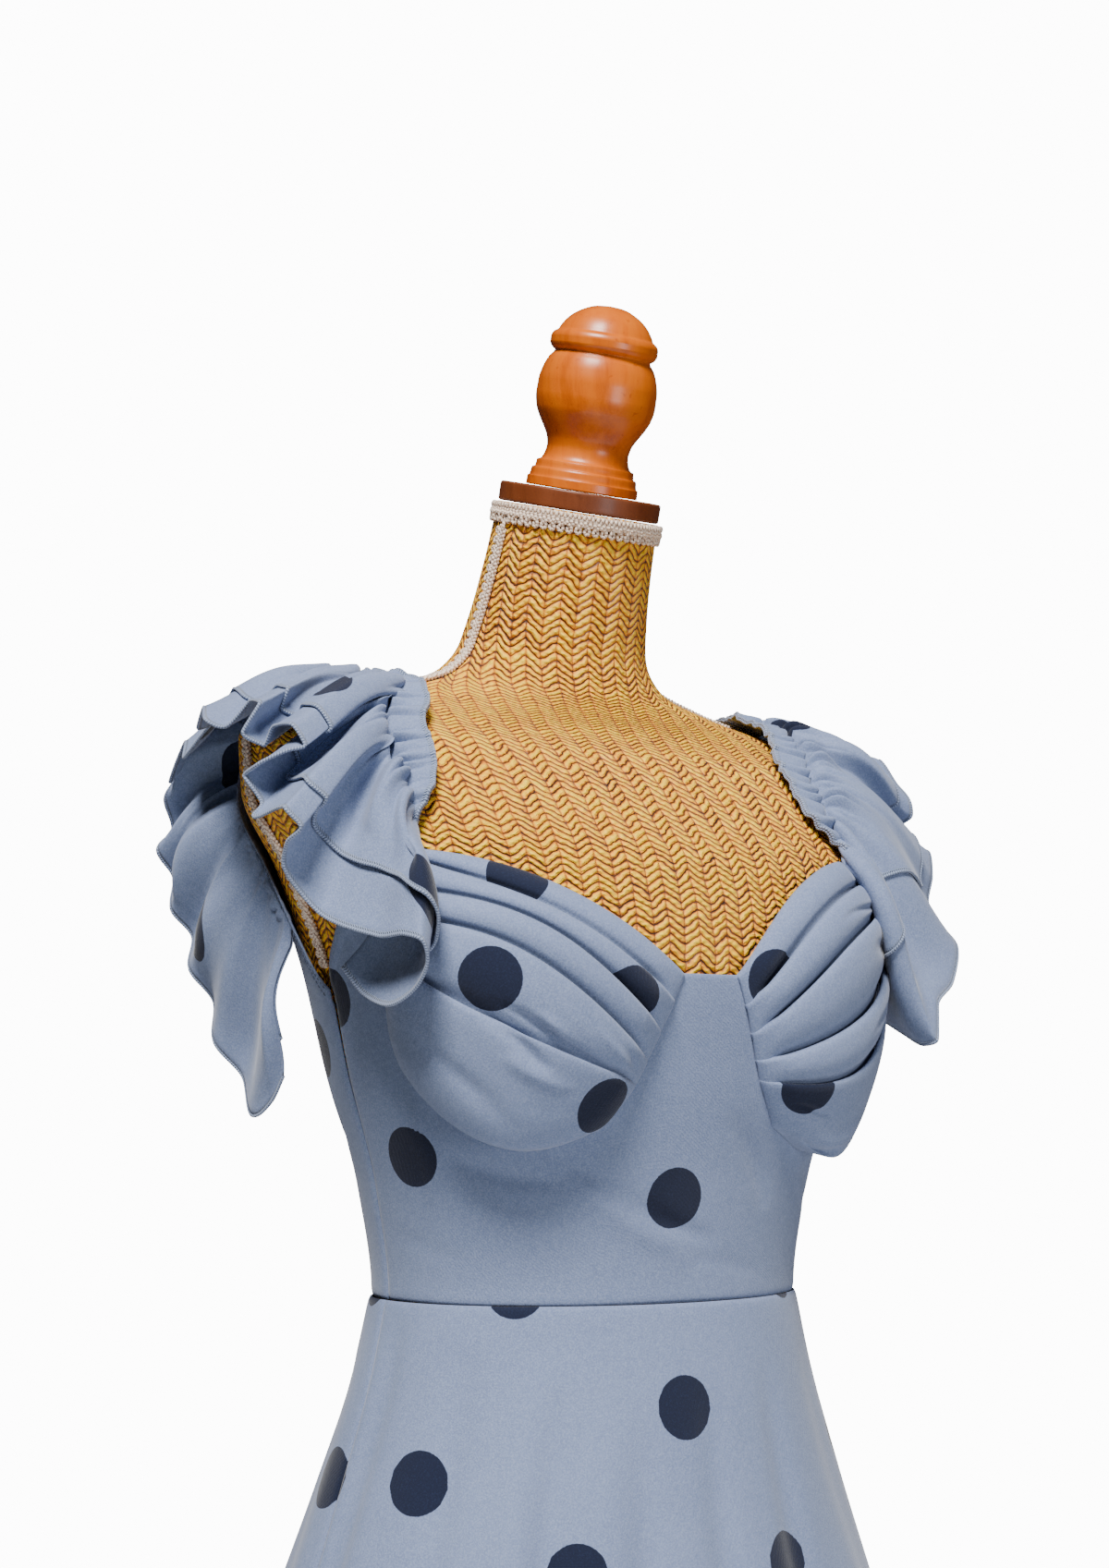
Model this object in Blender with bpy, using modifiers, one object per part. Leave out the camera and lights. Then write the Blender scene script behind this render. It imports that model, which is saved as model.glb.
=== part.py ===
"""A flamenco dress on its dress form, built the way a maker cuts and sews it.

Metres, +Z up. The origin is the centre of the stand's underside on the floor, the dress faces -Y,
and the wearer's right is -X. Heights on the figure are rises over the waist seam, and angles run
round the body from the centre front (0) to the wearer's left side (+90) and right side (-90).
"""

import math

import bmesh
import bpy
import numpy as np
from mathutils import Matrix, Vector

# ---------------------------------------------------------------- driving sizes
WAIST_HEIGHT = 1.05      # waist seam over the floor
SKIRT_LENGTH = 0.93      # waist seam to hem, on the straight
CLOTH = 0.0015           # stretch crepe with its turned edges
EASE = 0.0022            # from the form's skin to the inside of the cloth
SEAM = 0.0004            # gap between two pieces at a seam
SEAM_ANGLE = 0.25        # the same gap round the body, in degrees
LAP = 0.0006             # gap between a cup's turned edge and the panel under it
NECK_BRAID = 0.0022      # thickness of the braid round the neck
SIDE_BRAID = 0.0013      # and of the braid down the sides
NECK_TILT = 17.0         # the form's neck leans forward, degrees
CENTRE_FRONT = -1.5      # the dress sits a little turned on the form, degrees

# ---------------------------------------------------------------- tables
FORM_COLUMNS = ("rise", "forward", "half_width", "front", "back", "tilt", "squareness")
FORM = (
    (-0.250, 0.000, 0.146, 0.098, 0.108, 0, 2.2),
    (-0.200, 0.000, 0.158, 0.108, 0.120, 0, 2.2),
    (-0.100, 0.000, 0.145, 0.104, 0.108, 0, 2.2),
    (0.000, 0.000, 0.1205, 0.096, 0.082, 0, 2.1),
    (0.060, 0.000, 0.129, 0.104, 0.090, 0, 2.1),
    (0.120, 0.000, 0.146, 0.118, 0.104, 0, 2.2),
    (0.180, 0.000, 0.160, 0.128, 0.112, 0, 2.3),
    (0.230, -0.002, 0.178, 0.120, 0.118, 2, 2.4),
    (0.270, -0.010, 0.196, 0.100, 0.115, 4, 2.5),
    (0.300, -0.018, 0.197, 0.080, 0.103, 6, 2.5),
    (0.320, -0.025, 0.162, 0.066, 0.085, 9, 2.3),
    (0.337, -0.030, 0.101, 0.060, 0.068, 12, 2.1),
    (0.349, -0.031, 0.070, 0.056, 0.060, 14, 2.0),
    (0.366, -0.030, 0.0565, 0.053, 0.055, 15, 2.0),
    (0.390, -0.023, 0.0520, 0.050, 0.051, 16, 2.0),
    (0.420, -0.013, 0.0490, 0.048, 0.048, 17, 2.0),
    (0.446, -0.004, 0.0475, 0.047, 0.047, 17, 2.0),
)

# The seam between centre panel and cup, and the cup's outer edge, from the neckline down.
INNER_SEAM = ((4.5, 0.170), (8.5, 0.144), (13.5, 0.116), (21.0, 0.092))   # angle, rise
OUTER_EDGE = {                                                           # angle, rise
    "right": ((52, 0.236), (60, 0.222), (66, 0.205), (69, 0.180), (69.5, 0.148), (67, 0.118)),
    "left": ((31, 0.240), (44, 0.222), (57, 0.196), (66, 0.168), (69, 0.142), (67, 0.118)),
}
# Each pleat's folded edge: its share of the way down the two edges, and how far its middle rises.
PLEAT_COLUMNS = ("inner_share", "outer_share", "bow")
PLEATS = (
    (0.00, 0.00, 0.016),   # neckline
    (0.15, 0.07, 0.013),
    (0.32, 0.17, 0.010),
    (0.49, 0.30, 0.006),
    (0.66, 0.52, -0.004),
    (1.00, 1.00, -0.022),  # under-cup seam
)
CUP_FULLNESS = ((0, 0.10), (1, 0.34), (2, 0.60), (3, 0.82), (4, 1.00), (4.5, 0.98), (4.8, 0.78), (5, 0.0))
CUP_BULGE = {"right": 0.030, "left": 0.021}
CUP_DROP = {"right": 0.004, "left": 0.012}     # how far the pouch hangs over its seam
PLEAT_STEP = 0.0035

PANEL_UNDER = 1.4        # how far the panel reaches under a cup's inner edge, degrees
ARMHOLE = {   # the front panel's top edge beside the cup: angle, rise
    "right": ((70.0, 0.207), (80.0, 0.200), (86.0, 0.183), (90.0, 0.164)),
    "left": ((70.0, 0.158), (80.0, 0.160), (86.0, 0.162), (90.0, 0.164)),
}
BACK_TOP = (
    (90, 0.164), (95.5, 0.178), (101, 0.200), (107, 0.230), (116, 0.262), (123, 0.288), (128, 0.306), (135, 0.304),
    (142, 0.284), (156, 0.245), (169, 0.218), (180, 0.212),
)

# The gathering line of each shoulder ruffle: from the cup over the shoulder and down the back armhole.
GATHER_COLUMNS = ("rise", "angle")
GATHER = {
    "right": (
        (0.240, 54.5), (0.256, 52.0), (0.278, 47.5), (0.300, 46), (0.317, 52), (0.3285, 73), (0.3285, 96),
        (0.3215, 112), (0.308, 124), (0.288, 127), (0.262, 118), (0.232, 109), (0.203, 102.5),
    ),
    "left": (
        (0.244, 33), (0.262, 30), (0.284, 30), (0.304, 35), (0.317, 48), (0.3270, 73), (0.3240, 98),
        (0.3145, 118), (0.3025, 132), (0.291, 132), (0.262, 118), (0.232, 109), (0.203, 102.5),
    ),
}
# How far that line stands out of the form: over the side braid, then over the back panel.
LINE_OUT = (
    (0.00, 0.0010), (0.20, 0.0010), (0.30, 0.0030), (0.52, 0.0034), (0.60, 0.0057), (0.72, 0.0057), (0.82, 0.0062),
    (1.00, 0.0062),
)
# The lower layer's free edge, fold by fold: which share of the gathering line each point falls from,
# where it is, how far down the lower layer the upper one reaches, and how far it lifts off it.
RUFFLE_EDGE_COLUMNS = ("share", "x", "y", "rise", "over_reach", "over_lift")
RUFFLE_EDGE = {
    "right": (
        (0.000, -0.184, -0.060, 0.172, 0.70, 0.000), (0.010, -0.178, -0.072, 0.158, 0.70, 0.000),
        (0.020, -0.176, -0.097, 0.152, 0.72, 0.003), (0.030, -0.172, -0.115, 0.160, 0.72, 0.003),
        (0.045, -0.172, -0.126, 0.172, 0.72, 0.004), (0.060, -0.177, -0.129, 0.182, 0.72, 0.004),
        (0.080, -0.181, -0.120, 0.185, 0.68, 0.003), (0.100, -0.186, -0.102, 0.185, 0.64, 0.002),
        (0.120, -0.194, -0.085, 0.190, 0.66, 0.002), (0.140, -0.202, -0.069, 0.198, 0.68, 0.000),
        (0.155, -0.212, -0.064, 0.210, 0.70, 0.000), (0.165, -0.221, -0.066, 0.222, 0.72, 0.000),
        (0.175, -0.223, -0.074, 0.232, 0.74, 0.000), (0.185, -0.220, -0.083, 0.239, 0.76, 0.000),
        (0.200, -0.227, -0.081, 0.247, 0.78, 0.000), (0.220, -0.225, -0.071, 0.249, 0.76, 0.000),
        (0.240, -0.230, -0.051, 0.246, 0.72, 0.000), (0.258, -0.224, -0.047, 0.254, 0.70, 0.000),
        (0.280, -0.232, -0.042, 0.268, 0.68, 0.000), (0.300, -0.230, -0.053, 0.273, 0.70, 0.000),
        (0.320, -0.218, -0.061, 0.280, 0.74, 0.000), (0.335, -0.209, -0.064, 0.283, 0.78, 0.000),
        (0.350, -0.214, -0.060, 0.293, 0.78, 0.000), (0.370, -0.217, -0.046, 0.294, 0.74, 0.000),
        (0.390, -0.218, -0.036, 0.285, 0.70, 0.000), (0.414, -0.230, -0.035, 0.291, 0.70, 0.000),
        (0.433, -0.222, -0.038, 0.307, 0.74, 0.000), (0.447, -0.220, -0.024, 0.310, 0.74, 0.000),
        (0.465, -0.229, -0.011, 0.297, 0.70, 0.000), (0.483, -0.236, -0.002, 0.302, 0.70, 0.000),
        (0.500, -0.227, 0.020, 0.312, 0.74, 0.000), (0.520, -0.219, 0.045, 0.305, 0.72, 0.000),
        (0.540, -0.201, 0.069, 0.311, 0.72, 0.000), (0.556, -0.205, 0.094, 0.296, 0.70, 0.000),
        (0.580, -0.196, 0.115, 0.308, 0.72, 0.000), (0.600, -0.195, 0.138, 0.288, 0.74, 0.000),
        (0.614, -0.189, 0.142, 0.293, 0.76, 0.000), (0.645, -0.193, 0.151, 0.280, 0.76, 0.000),
        (0.679, -0.185, 0.158, 0.264, 0.72, 0.000), (0.700, -0.199, 0.147, 0.249, 0.70, 0.000),
        (0.730, -0.187, 0.150, 0.233, 0.72, 0.000), (0.760, -0.194, 0.137, 0.215, 0.76, 0.000),
        (0.790, -0.181, 0.135, 0.198, 0.74, 0.000), (0.820, -0.190, 0.118, 0.179, 0.70, 0.000),
        (0.850, -0.178, 0.110, 0.160, 0.72, 0.000), (0.880, -0.184, 0.096, 0.138, 0.76, 0.000),
        (0.910, -0.171, 0.084, 0.117, 0.74, 0.000), (0.940, -0.176, 0.062, 0.097, 0.70, 0.000),
        (0.970, -0.172, 0.046, 0.104, 0.70, 0.000), (1.000, -0.170, 0.035, 0.118, 0.70, 0.000),
    ),
    "left": (
        (0.000, 0.170, -0.060, 0.152, 0.62, 0.000), (0.010, 0.168, -0.082, 0.144, 0.62, 0.000),
        (0.020, 0.158, -0.112, 0.137, 0.62, 0.000), (0.043, 0.157, -0.122, 0.139, 0.62, 0.000),
        (0.052, 0.161, -0.118, 0.158, 0.60, 0.000), (0.058, 0.183, -0.106, 0.172, 0.62, 0.000),
        (0.085, 0.196, -0.096, 0.192, 0.66, 0.000), (0.105, 0.203, -0.073, 0.207, 0.70, 0.000),
        (0.130, 0.205, -0.059, 0.221, 0.74, 0.000), (0.155, 0.210, -0.058, 0.238, 0.78, 0.000),
        (0.185, 0.214, -0.053, 0.252, 0.80, 0.000), (0.215, 0.215, -0.037, 0.259, 0.80, 0.000),
        (0.245, 0.213, -0.030, 0.271, 0.82, 0.000), (0.275, 0.214, -0.038, 0.277, 0.84, 0.000),
        (0.305, 0.212, -0.037, 0.288, 0.84, 0.000), (0.335, 0.216, -0.022, 0.298, 0.82, 0.000),
        (0.370, 0.210, -0.014, 0.313, 0.80, 0.000), (0.400, 0.213, 0.003, 0.308, 0.76, 0.000),
        (0.430, 0.208, 0.012, 0.321, 0.72, 0.000), (0.460, 0.214, 0.026, 0.311, 0.70, 0.000),
        (0.490, 0.206, 0.040, 0.324, 0.72, 0.000), (0.515, 0.208, 0.060, 0.310, 0.72, 0.000),
        (0.540, 0.194, 0.080, 0.318, 0.72, 0.000), (0.565, 0.192, 0.104, 0.300, 0.70, 0.000),
        (0.592, 0.180, 0.118, 0.303, 0.72, 0.000), (0.610, 0.185, 0.136, 0.296, 0.76, 0.000),
        (0.640, 0.188, 0.151, 0.287, 0.76, 0.000), (0.673, 0.200, 0.139, 0.271, 0.72, 0.000),
        (0.700, 0.186, 0.154, 0.250, 0.70, 0.000), (0.730, 0.197, 0.144, 0.235, 0.72, 0.000),
        (0.760, 0.183, 0.146, 0.216, 0.76, 0.000), (0.790, 0.194, 0.132, 0.198, 0.74, 0.000),
        (0.820, 0.180, 0.128, 0.181, 0.70, 0.000), (0.850, 0.191, 0.112, 0.163, 0.72, 0.000),
        (0.880, 0.178, 0.102, 0.142, 0.76, 0.000), (0.910, 0.181, 0.082, 0.119, 0.74, 0.000),
        (0.940, 0.172, 0.062, 0.100, 0.70, 0.000), (0.970, 0.175, 0.046, 0.106, 0.70, 0.000),
        (1.000, 0.174, 0.035, 0.120, 0.70, 0.000),
    ),
}
HEADING = 0.020          # the narrow frill on the neck side of the gathering line
RUFFLE_ARCH = 0.013      # how far the flounce springs up before it falls
FRONT_SPRING = 0.014      # and how much more at its front end, over the cup's corner
FOLD_GROWTH = 1.5        # how the folds deepen from the gathers to the edge
MEAN_SPREAD = 7.0        # rows of the table that the flounce's mean edge is smoothed over
ROWS = (-1.0, 0.0, 0.25, 0.6, 1.0)
LAYER_GAP = 0.0005        # between its two layers
RUFFLE_CLOTH = 0.0010     # one layer of the ruffle

# The skirt: half width, front and back depth down its length, and its folds round the hem.
SKIRT_COLUMNS = ("fall", "half_width", "front", "back")
SKIRT = (
    (0.000, 0.1245, 0.1000, 0.0860),
    (0.040, 0.1330, 0.1060, 0.0960),
    (0.100, 0.1520, 0.1150, 0.1180),
    (0.160, 0.1720, 0.1260, 0.1380),
    (0.250, 0.2000, 0.1480, 0.1620),
    (0.450, 0.2560, 0.1980, 0.2120),
    (0.700, 0.3140, 0.2540, 0.2680),
    (0.930, 0.3560, 0.2940, 0.3080),
)
SKIRT_FOLDS = (   # angle of the crest, depth at the hem, fall at which it starts
    (-172, 0.034, 0.10), (-148, 0.040, 0.07), (-121, 0.036, 0.05), (-97, 0.042, 0.03), (-74, 0.034, 0.09),
    (-50, 0.036, 0.12), (-29, 0.030, 0.13), (-7, 0.036, 0.12), (17, 0.032, 0.13), (41, 0.038, 0.11),
    (66, 0.034, 0.09), (92, 0.042, 0.04), (117, 0.036, 0.07), (141, 0.038, 0.08), (164, 0.032, 0.10),
)

FINIAL_PROFILE = (   # height over the neck plate, radius, from the dome down
    (0.1079, 0.0000), (0.1070, 0.0082), (0.1036, 0.0164), (0.0988, 0.0227), (0.0931, 0.0268), (0.0907, 0.0280),
    (0.0893, 0.0301), (0.0864, 0.0315), (0.0831, 0.0315), (0.0804, 0.0301), (0.0788, 0.0280), (0.0745, 0.0309),
    (0.0688, 0.0333), (0.0611, 0.0349), (0.0535, 0.0351), (0.0458, 0.0338), (0.0392, 0.0307), (0.0334, 0.0272),
    (0.0286, 0.0249), (0.0239, 0.0241), (0.0191, 0.0249), (0.0158, 0.0268), (0.0153, 0.0284), (0.0110, 0.0293),
    (0.0105, 0.0307), (0.0057, 0.0317), (0.0053, 0.0326), (0.0000, 0.0328), (0.0000, 0.0000),
)
PLATE_RADIUS, PLATE_THICKNESS = 0.0474, 0.0115
POST_RADIUS = 0.0160
FOOT_PROFILE = (     # height, radius of the round foot, from its collar down
    (0.0620, 0.0000), (0.0620, 0.0230), (0.0590, 0.0260), (0.0460, 0.0270), (0.0400, 0.0330), (0.0330, 0.0700),
    (0.0280, 0.1300), (0.0230, 0.1620), (0.0150, 0.1690), (0.0040, 0.1700), (0.0000, 0.1670), (0.0000, 0.0000),
)


# ---------------------------------------------------------------- shape functions
def column(table, columns, name):
    """One named column of a table as an array."""
    return np.array([row[columns.index(name)] for row in table], float)


def curve_through(knots, values, at):
    """A smooth curve through the rows of a table that doesn't overshoot them (monotone cubic)."""
    knots, values = np.asarray(knots, float), np.asarray(values, float)
    at = np.clip(np.asarray(at, float), knots[0], knots[-1])
    step = np.diff(knots)
    slope = np.diff(values) / step
    tangent = np.zeros_like(values)
    tangent[0], tangent[-1] = slope[0], slope[-1]
    same_way = slope[:-1] * slope[1:] > 0
    before, after = 2 * step[1:] + step[:-1], step[1:] + 2 * step[:-1]
    safe = np.where(same_way, slope[:-1], 1.0), np.where(same_way, slope[1:], 1.0)
    tangent[1:-1] = np.where(same_way, (before + after) / (before / safe[0] + after / safe[1]), 0.0)
    k = np.clip(np.searchsorted(knots, at, side="right") - 1, 0, len(knots) - 2)
    t = (at - knots[k]) / step[k]
    rise = (1 + 2 * t) * (1 - t) ** 2 * values[k] + t * t * (3 - 2 * t) * values[k + 1]
    return rise + step[k] * (t * (1 - t) ** 2 * tangent[k] + t * t * (t - 1) * tangent[k + 1])


def oval(angle, half_width, front, back, squareness):
    """x and y of a squared oval round the body; the angle is in degrees from the front."""
    turn = np.radians(angle)
    power = 2.0 / squareness
    across, along = np.sin(turn), np.cos(turn)
    x = half_width * np.sign(across) * np.abs(across) ** power
    y = -np.where(along >= 0, front, back) * np.sign(along) * np.abs(along) ** power
    return x, y


def form_skin(rise, angle):
    """The point of the form's skin at a rise and an angle."""
    rise, angle = np.broadcast_arrays(np.asarray(rise, float), np.asarray(angle, float))
    rises = column(FORM, FORM_COLUMNS, "rise")
    forward, half_width, front, back, tilt, squareness = (
        curve_through(rises, column(FORM, FORM_COLUMNS, name), rise) for name in FORM_COLUMNS[1:]
    )
    x, along = oval(angle, half_width, front, back, squareness)
    lean = np.radians(tilt)
    return np.stack([x, along * np.cos(lean) - forward, WAIST_HEIGHT + rise + along * np.sin(lean)], axis=-1)


def skin_directions(rise, angle):
    """How the skin's point moves per degree round and per metre up, and its outward direction."""
    rise = np.clip(rise, FORM[0][0] + 0.004, FORM[-1][0] - 0.004)
    around = (form_skin(rise, angle + 1.0) - form_skin(rise, angle - 1.0)) / 2
    upwards = (form_skin(rise + 0.003, angle) - form_skin(rise - 0.003, angle)) / 0.006
    return around, upwards, unit(np.cross(around, upwards))


def on_form(rise, angle, out=0.0):
    """The point of the skin at a rise and an angle, moved straight out of it by that much."""
    rise, angle, out = np.broadcast_arrays(np.asarray(rise, float), np.asarray(angle, float), out)
    return form_skin(rise, angle) + skin_directions(rise, angle)[2] * out[..., None]


def unit(vectors):
    return vectors / np.linalg.norm(vectors, axis=-1, keepdims=True)


def normals_of(grid):
    """The normal at each point of a grid of points, from its neighbours."""
    return unit(np.cross(np.gradient(grid, axis=1), np.gradient(grid, axis=0)))


def edge_at(edge, share):
    """A point of an edge (angle, rise) at a share of its length from its first row."""
    angle, rise = np.array(edge, float).T
    arc = np.concatenate([[0], np.cumsum(np.hypot(np.diff(np.radians(angle)) * 0.15, np.diff(rise)))])
    return curve_through(arc / arc[-1], angle, share), curve_through(arc / arc[-1], rise, share)


# ---------------------------------------------------------------- making objects
def material(name, colour, roughness, metallic=0.0):
    made = bpy.data.materials.new(name)
    made.use_nodes = True
    shader = made.node_tree.nodes["Principled BSDF"]
    shader.inputs["Base Color"].default_value = (*colour, 1.0)
    shader.inputs["Roughness"].default_value = roughness
    shader.inputs["Metallic"].default_value = metallic
    return made


def add_object(name, mesh, finish, collection):
    made = bpy.data.objects.new(name, mesh)
    made.data.materials.append(finish)
    collection.objects.link(made)
    return made


def loft(name, grid, finish, collection, ring=False, capped=False):
    """An open or closed surface through the rows of a grid of points."""
    rows, columns = grid.shape[:2]
    mesh = bpy.data.meshes.new(name)
    made = bmesh.new()
    points = [[made.verts.new(point) for point in row] for row in grid.tolist()]
    for lower, upper in zip(points, points[1:]):
        for k in range(columns if ring else columns - 1):
            after = (k + 1) % columns
            made.faces.new((lower[k], lower[after], upper[after]))
            made.faces.new((lower[k], upper[after], upper[k]))
    if capped:
        made.faces.new(points[0][::-1])
        made.faces.new(points[-1])
    made.to_mesh(mesh)
    made.free()
    mesh.shade_smooth()
    return add_object(name, mesh, finish, collection)


def cloth(name, grid, finish, collection, thickness=CLOTH, ring=False):
    """A wall of cloth: the grid is its inner face, seen from outside with rows going up."""
    made = loft(name, grid, finish, collection, ring)
    wall = made.modifiers.new("wall", "SOLIDIFY")
    wall.thickness = thickness
    wall.offset = 1.0
    wall.use_even_offset = False
    return made


def shell(name, inner, outer, finish, collection):
    """A closed sheet between two grids of points that have the same rows and columns."""
    rows, columns = inner.shape[:2]
    around = [(0, k) for k in range(columns)] + [(j, columns - 1) for j in range(1, rows)]
    around += [(rows - 1, k) for k in range(columns - 2, -1, -1)] + [(j, 0) for j in range(rows - 2, 0, -1)]
    mesh = bpy.data.meshes.new(name)
    made = bmesh.new()
    inside, outside = ([[made.verts.new(point) for point in row] for row in grid.tolist()] for grid in (inner, outer))
    for j in range(rows - 1):
        for k in range(columns - 1):
            for points, way in ((inside, -1), (outside, 1)):
                made.faces.new((points[j][k], points[j][k + 1], points[j + 1][k + 1])[::way])
                made.faces.new((points[j][k], points[j + 1][k + 1], points[j + 1][k])[::way])
    for (j, k), (m, n) in zip(around, around[1:] + around[:1]):
        made.faces.new((inside[j][k], inside[m][n], outside[m][n], outside[j][k]))
    bmesh.ops.recalc_face_normals(made, faces=made.faces)
    made.to_mesh(mesh)
    made.free()
    mesh.shade_smooth()
    return add_object(name, mesh, finish, collection)


def turned(name, profile, finish, collection, steps=32):
    """A turned solid: a profile of (height, radius) rows from its top down, spun on Z."""
    mesh = bpy.data.meshes.new(name)
    made = bmesh.new()
    corners = [made.verts.new((radius, 0.0, height)) for height, radius in profile]
    for upper, lower in zip(corners, corners[1:]):
        made.edges.new((upper, lower))
    made.to_mesh(mesh)
    made.free()
    shape = add_object(name, mesh, finish, collection)
    spin = shape.modifiers.new("spin", "SCREW")
    spin.steps = spin.render_steps = steps
    spin.use_merge_vertices = True
    spin.merge_threshold = 0.00005
    return shape


# ---------------------------------------------------------------- the dress form
def make_form(finish, collection):
    """The torso and neck: one closed loft through the form's rings."""
    below = [-0.250, -0.215, -0.170, -0.120, -0.075, -0.040, -0.018, 0.0, 0.018, 0.045, 0.085, 0.125, 0.165, 0.200]
    above = [0.228, 0.252, 0.274, 0.290, 0.303, 0.315, 0.327, 0.337, 0.347, 0.358, 0.370, 0.385, 0.405, 0.430, 0.446]
    rises = np.array(below + above)
    angles = np.arange(0, 360, 10.0)
    grid = on_form(rises[:, None], angles[None, :])
    loft("form_body", grid, finish["straw"], collection, ring=True, capped=True)


def make_braids(finish, collection):
    """Braid round the top of the neck, and down each side over the shoulder."""
    angles = np.arange(0, 360, 10.0)
    rises = np.array([0.4335, 0.4395, 0.4455])
    grid = on_form(rises[:, None], angles[None, :], 0.0004)
    cloth("form_neck_braid", grid, finish["braid"], collection, NECK_BRAID, ring=True)
    across = np.array([-1.0, 0.0, 1.0]) * 0.0045
    for side, sign in (("right", -1), ("left", 1)):
        rise = np.concatenate([np.linspace(0.176, 0.274, 7), np.linspace(0.290, 0.370, 13), np.linspace(0.383, 0.4325, 5)])
        angle = sign * curve_through((0.17, 0.25, 0.31, 0.345, 0.45), (91.5, 95.0, 93.0, 90.0, 88.0), rise)
        middle = on_form(rise, angle)
        skin = skin_directions(rise, angle)[2]
        sideways = unit(np.cross(np.gradient(middle, axis=0), skin))
        strip = middle[:, None] + sideways[:, None] * across[None, :, None]
        strip = strip + skin[:, None] * np.array([0.0013, 0.0009, 0.0013])[None, :, None]
        if np.mean(np.sum(normals_of(strip) * skin[:, None], axis=-1)) < 0:
            strip = strip[:, ::-1]
        cloth(f"form_side_braid_{side}", strip, finish["braid"], collection, SIDE_BRAID)


def make_finial(finish, collection):
    """The neck plate and the turned finial, both square to the leaning neck."""
    top = Vector(on_form(0.446, np.array([0.0, 180.0])).mean(axis=0))
    lean = Matrix.Rotation(math.radians(NECK_TILT), 4, "X")
    axis = lean @ Vector((0, 0, 1))
    bpy.ops.mesh.primitive_cylinder_add(vertices=40, radius=PLATE_RADIUS, depth=PLATE_THICKNESS)
    plate = bpy.context.object
    plate.name = "form_neck_plate"
    plate.data.materials.append(finish["dark_wood"])
    for owner in plate.users_collection:
        owner.objects.unlink(plate)
    collection.objects.link(plate)
    plate.matrix_world = Matrix.Translation(top + axis * (SEAM + PLATE_THICKNESS / 2)) @ lean
    edge = plate.modifiers.new("edge", "BEVEL")
    edge.width = 0.0012
    edge.segments = 1
    finial = turned("form_finial", FINIAL_PROFILE, finish["wood"], collection, steps=24)
    finial.matrix_world = Matrix.Translation(top + axis * (2 * SEAM + PLATE_THICKNESS)) @ lean


def make_stand(finish, collection):
    """A plain round post from the foot up to the form's underside, and the round foot."""
    foot_top = FOOT_PROFILE[0][0] + SEAM
    form_bottom = WAIST_HEIGHT + FORM[0][0] - SEAM
    bpy.ops.mesh.primitive_cylinder_add(vertices=24, radius=POST_RADIUS, depth=form_bottom - foot_top)
    post = bpy.context.object
    post.name = "stand_post"
    post.data.materials.append(finish["wood"])
    for owner in post.users_collection:
        owner.objects.unlink(post)
    collection.objects.link(post)
    post.location = (0, 0, (form_bottom + foot_top) / 2)
    turned("stand_foot", FOOT_PROFILE, finish["wood"], collection, steps=32)


# ---------------------------------------------------------------- the bodice
def cup_point(side, u, w):
    """The cup's inner face: u runs from the inner seam (0) to the outer edge (1), w down the pleats."""
    sign = 1 if side == "left" else -1
    lines = np.arange(len(PLEATS), dtype=float)
    inner_angle, inner_rise = edge_at(INNER_SEAM, np.interp(w, lines, column(PLEATS, PLEAT_COLUMNS, "inner_share")))
    outer_angle, outer_rise = edge_at(OUTER_EDGE[side], np.interp(w, lines, column(PLEATS, PLEAT_COLUMNS, "outer_share")))
    bow = np.interp(w, lines, column(PLEATS, PLEAT_COLUMNS, "bow")) * np.sin(np.pi * u)
    angle = inner_angle + (outer_angle - inner_angle) * u
    rise = inner_rise + (outer_rise - inner_rise) * u + bow
    edge_shape = np.where(u > 0.5, 1.25 - 0.126 * w, 0.62)
    full = curve_through(*zip(*CUP_FULLNESS), w) * np.sin(np.pi * np.clip(u, 0, 1)) ** edge_shape
    band = np.minimum(np.floor(w), len(PLEATS) - 2)
    step = np.where(band > 0, PLEAT_STEP * np.clip(1 - (w - band) / np.where(band == 4, 0.5, 1.0), 0, 1), 0.0)
    step = step * np.clip(np.minimum(u, 1 - u) * 12, 0.3, 1)
    hang = CUP_DROP[side] * np.exp(-(((w - 4.75) / 0.22) ** 2)) * np.sin(np.pi * u) ** 2
    return on_form(rise - hang, CENTRE_FRONT + sign * angle, EASE + CLOTH + LAP + CUP_BULGE[side] * full + step)


def make_cups(finish, collection):
    """Two pleated cups: each band's folded upper edge stands over the band above it."""
    fold = 0.03
    w = np.concatenate([[0.0, 0.5]] + [[k - fold, k + fold, k + 0.5] for k in (1, 2, 3)] + [
        [4 - fold, 4 + fold, 4.25, 4.5, 4.68, 4.82, 4.92, 5.0]])
    u = np.linspace(0, 1, 13)
    u = 0.5 - 0.5 * np.cos(np.pi * u) * (0.55 + 0.45 * np.abs(np.cos(np.pi * u)))
    for side in ("right", "left"):
        grid = cup_point(side, u[None, :], w[::-1, None])
        if side == "right":
            grid = grid[:, ::-1]
        cloth(f"cup_{side}", grid, finish["cloth"], collection)


def front_top(side, off):
    """Top edge of the front panel, by the angle off the centre: neckline, under the cup, then armhole."""
    inner_angle, inner_rise = np.array(INNER_SEAM, float).T
    under = np.linspace(0, 1, 40)
    outer_angle, outer_rise = OUTER_EDGE[side][-1]
    under_angle = inner_angle[-1] + (outer_angle - inner_angle[-1]) * under
    under_rise = inner_rise[-1] + (outer_rise - inner_rise[-1]) * under + PLEATS[-1][2] * np.sin(np.pi * under)
    hole_angle, hole_rise = np.array(ARMHOLE[side], float).T
    angle = np.concatenate([[0], inner_angle + PANEL_UNDER, under_angle[2:-2], [outer_angle - 1], hole_angle])
    rise = np.concatenate([inner_rise[:1], inner_rise, under_rise[2:-2] + 0.004, [outer_rise + 0.004], hole_rise])
    return np.interp(off, angle, rise)


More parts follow.
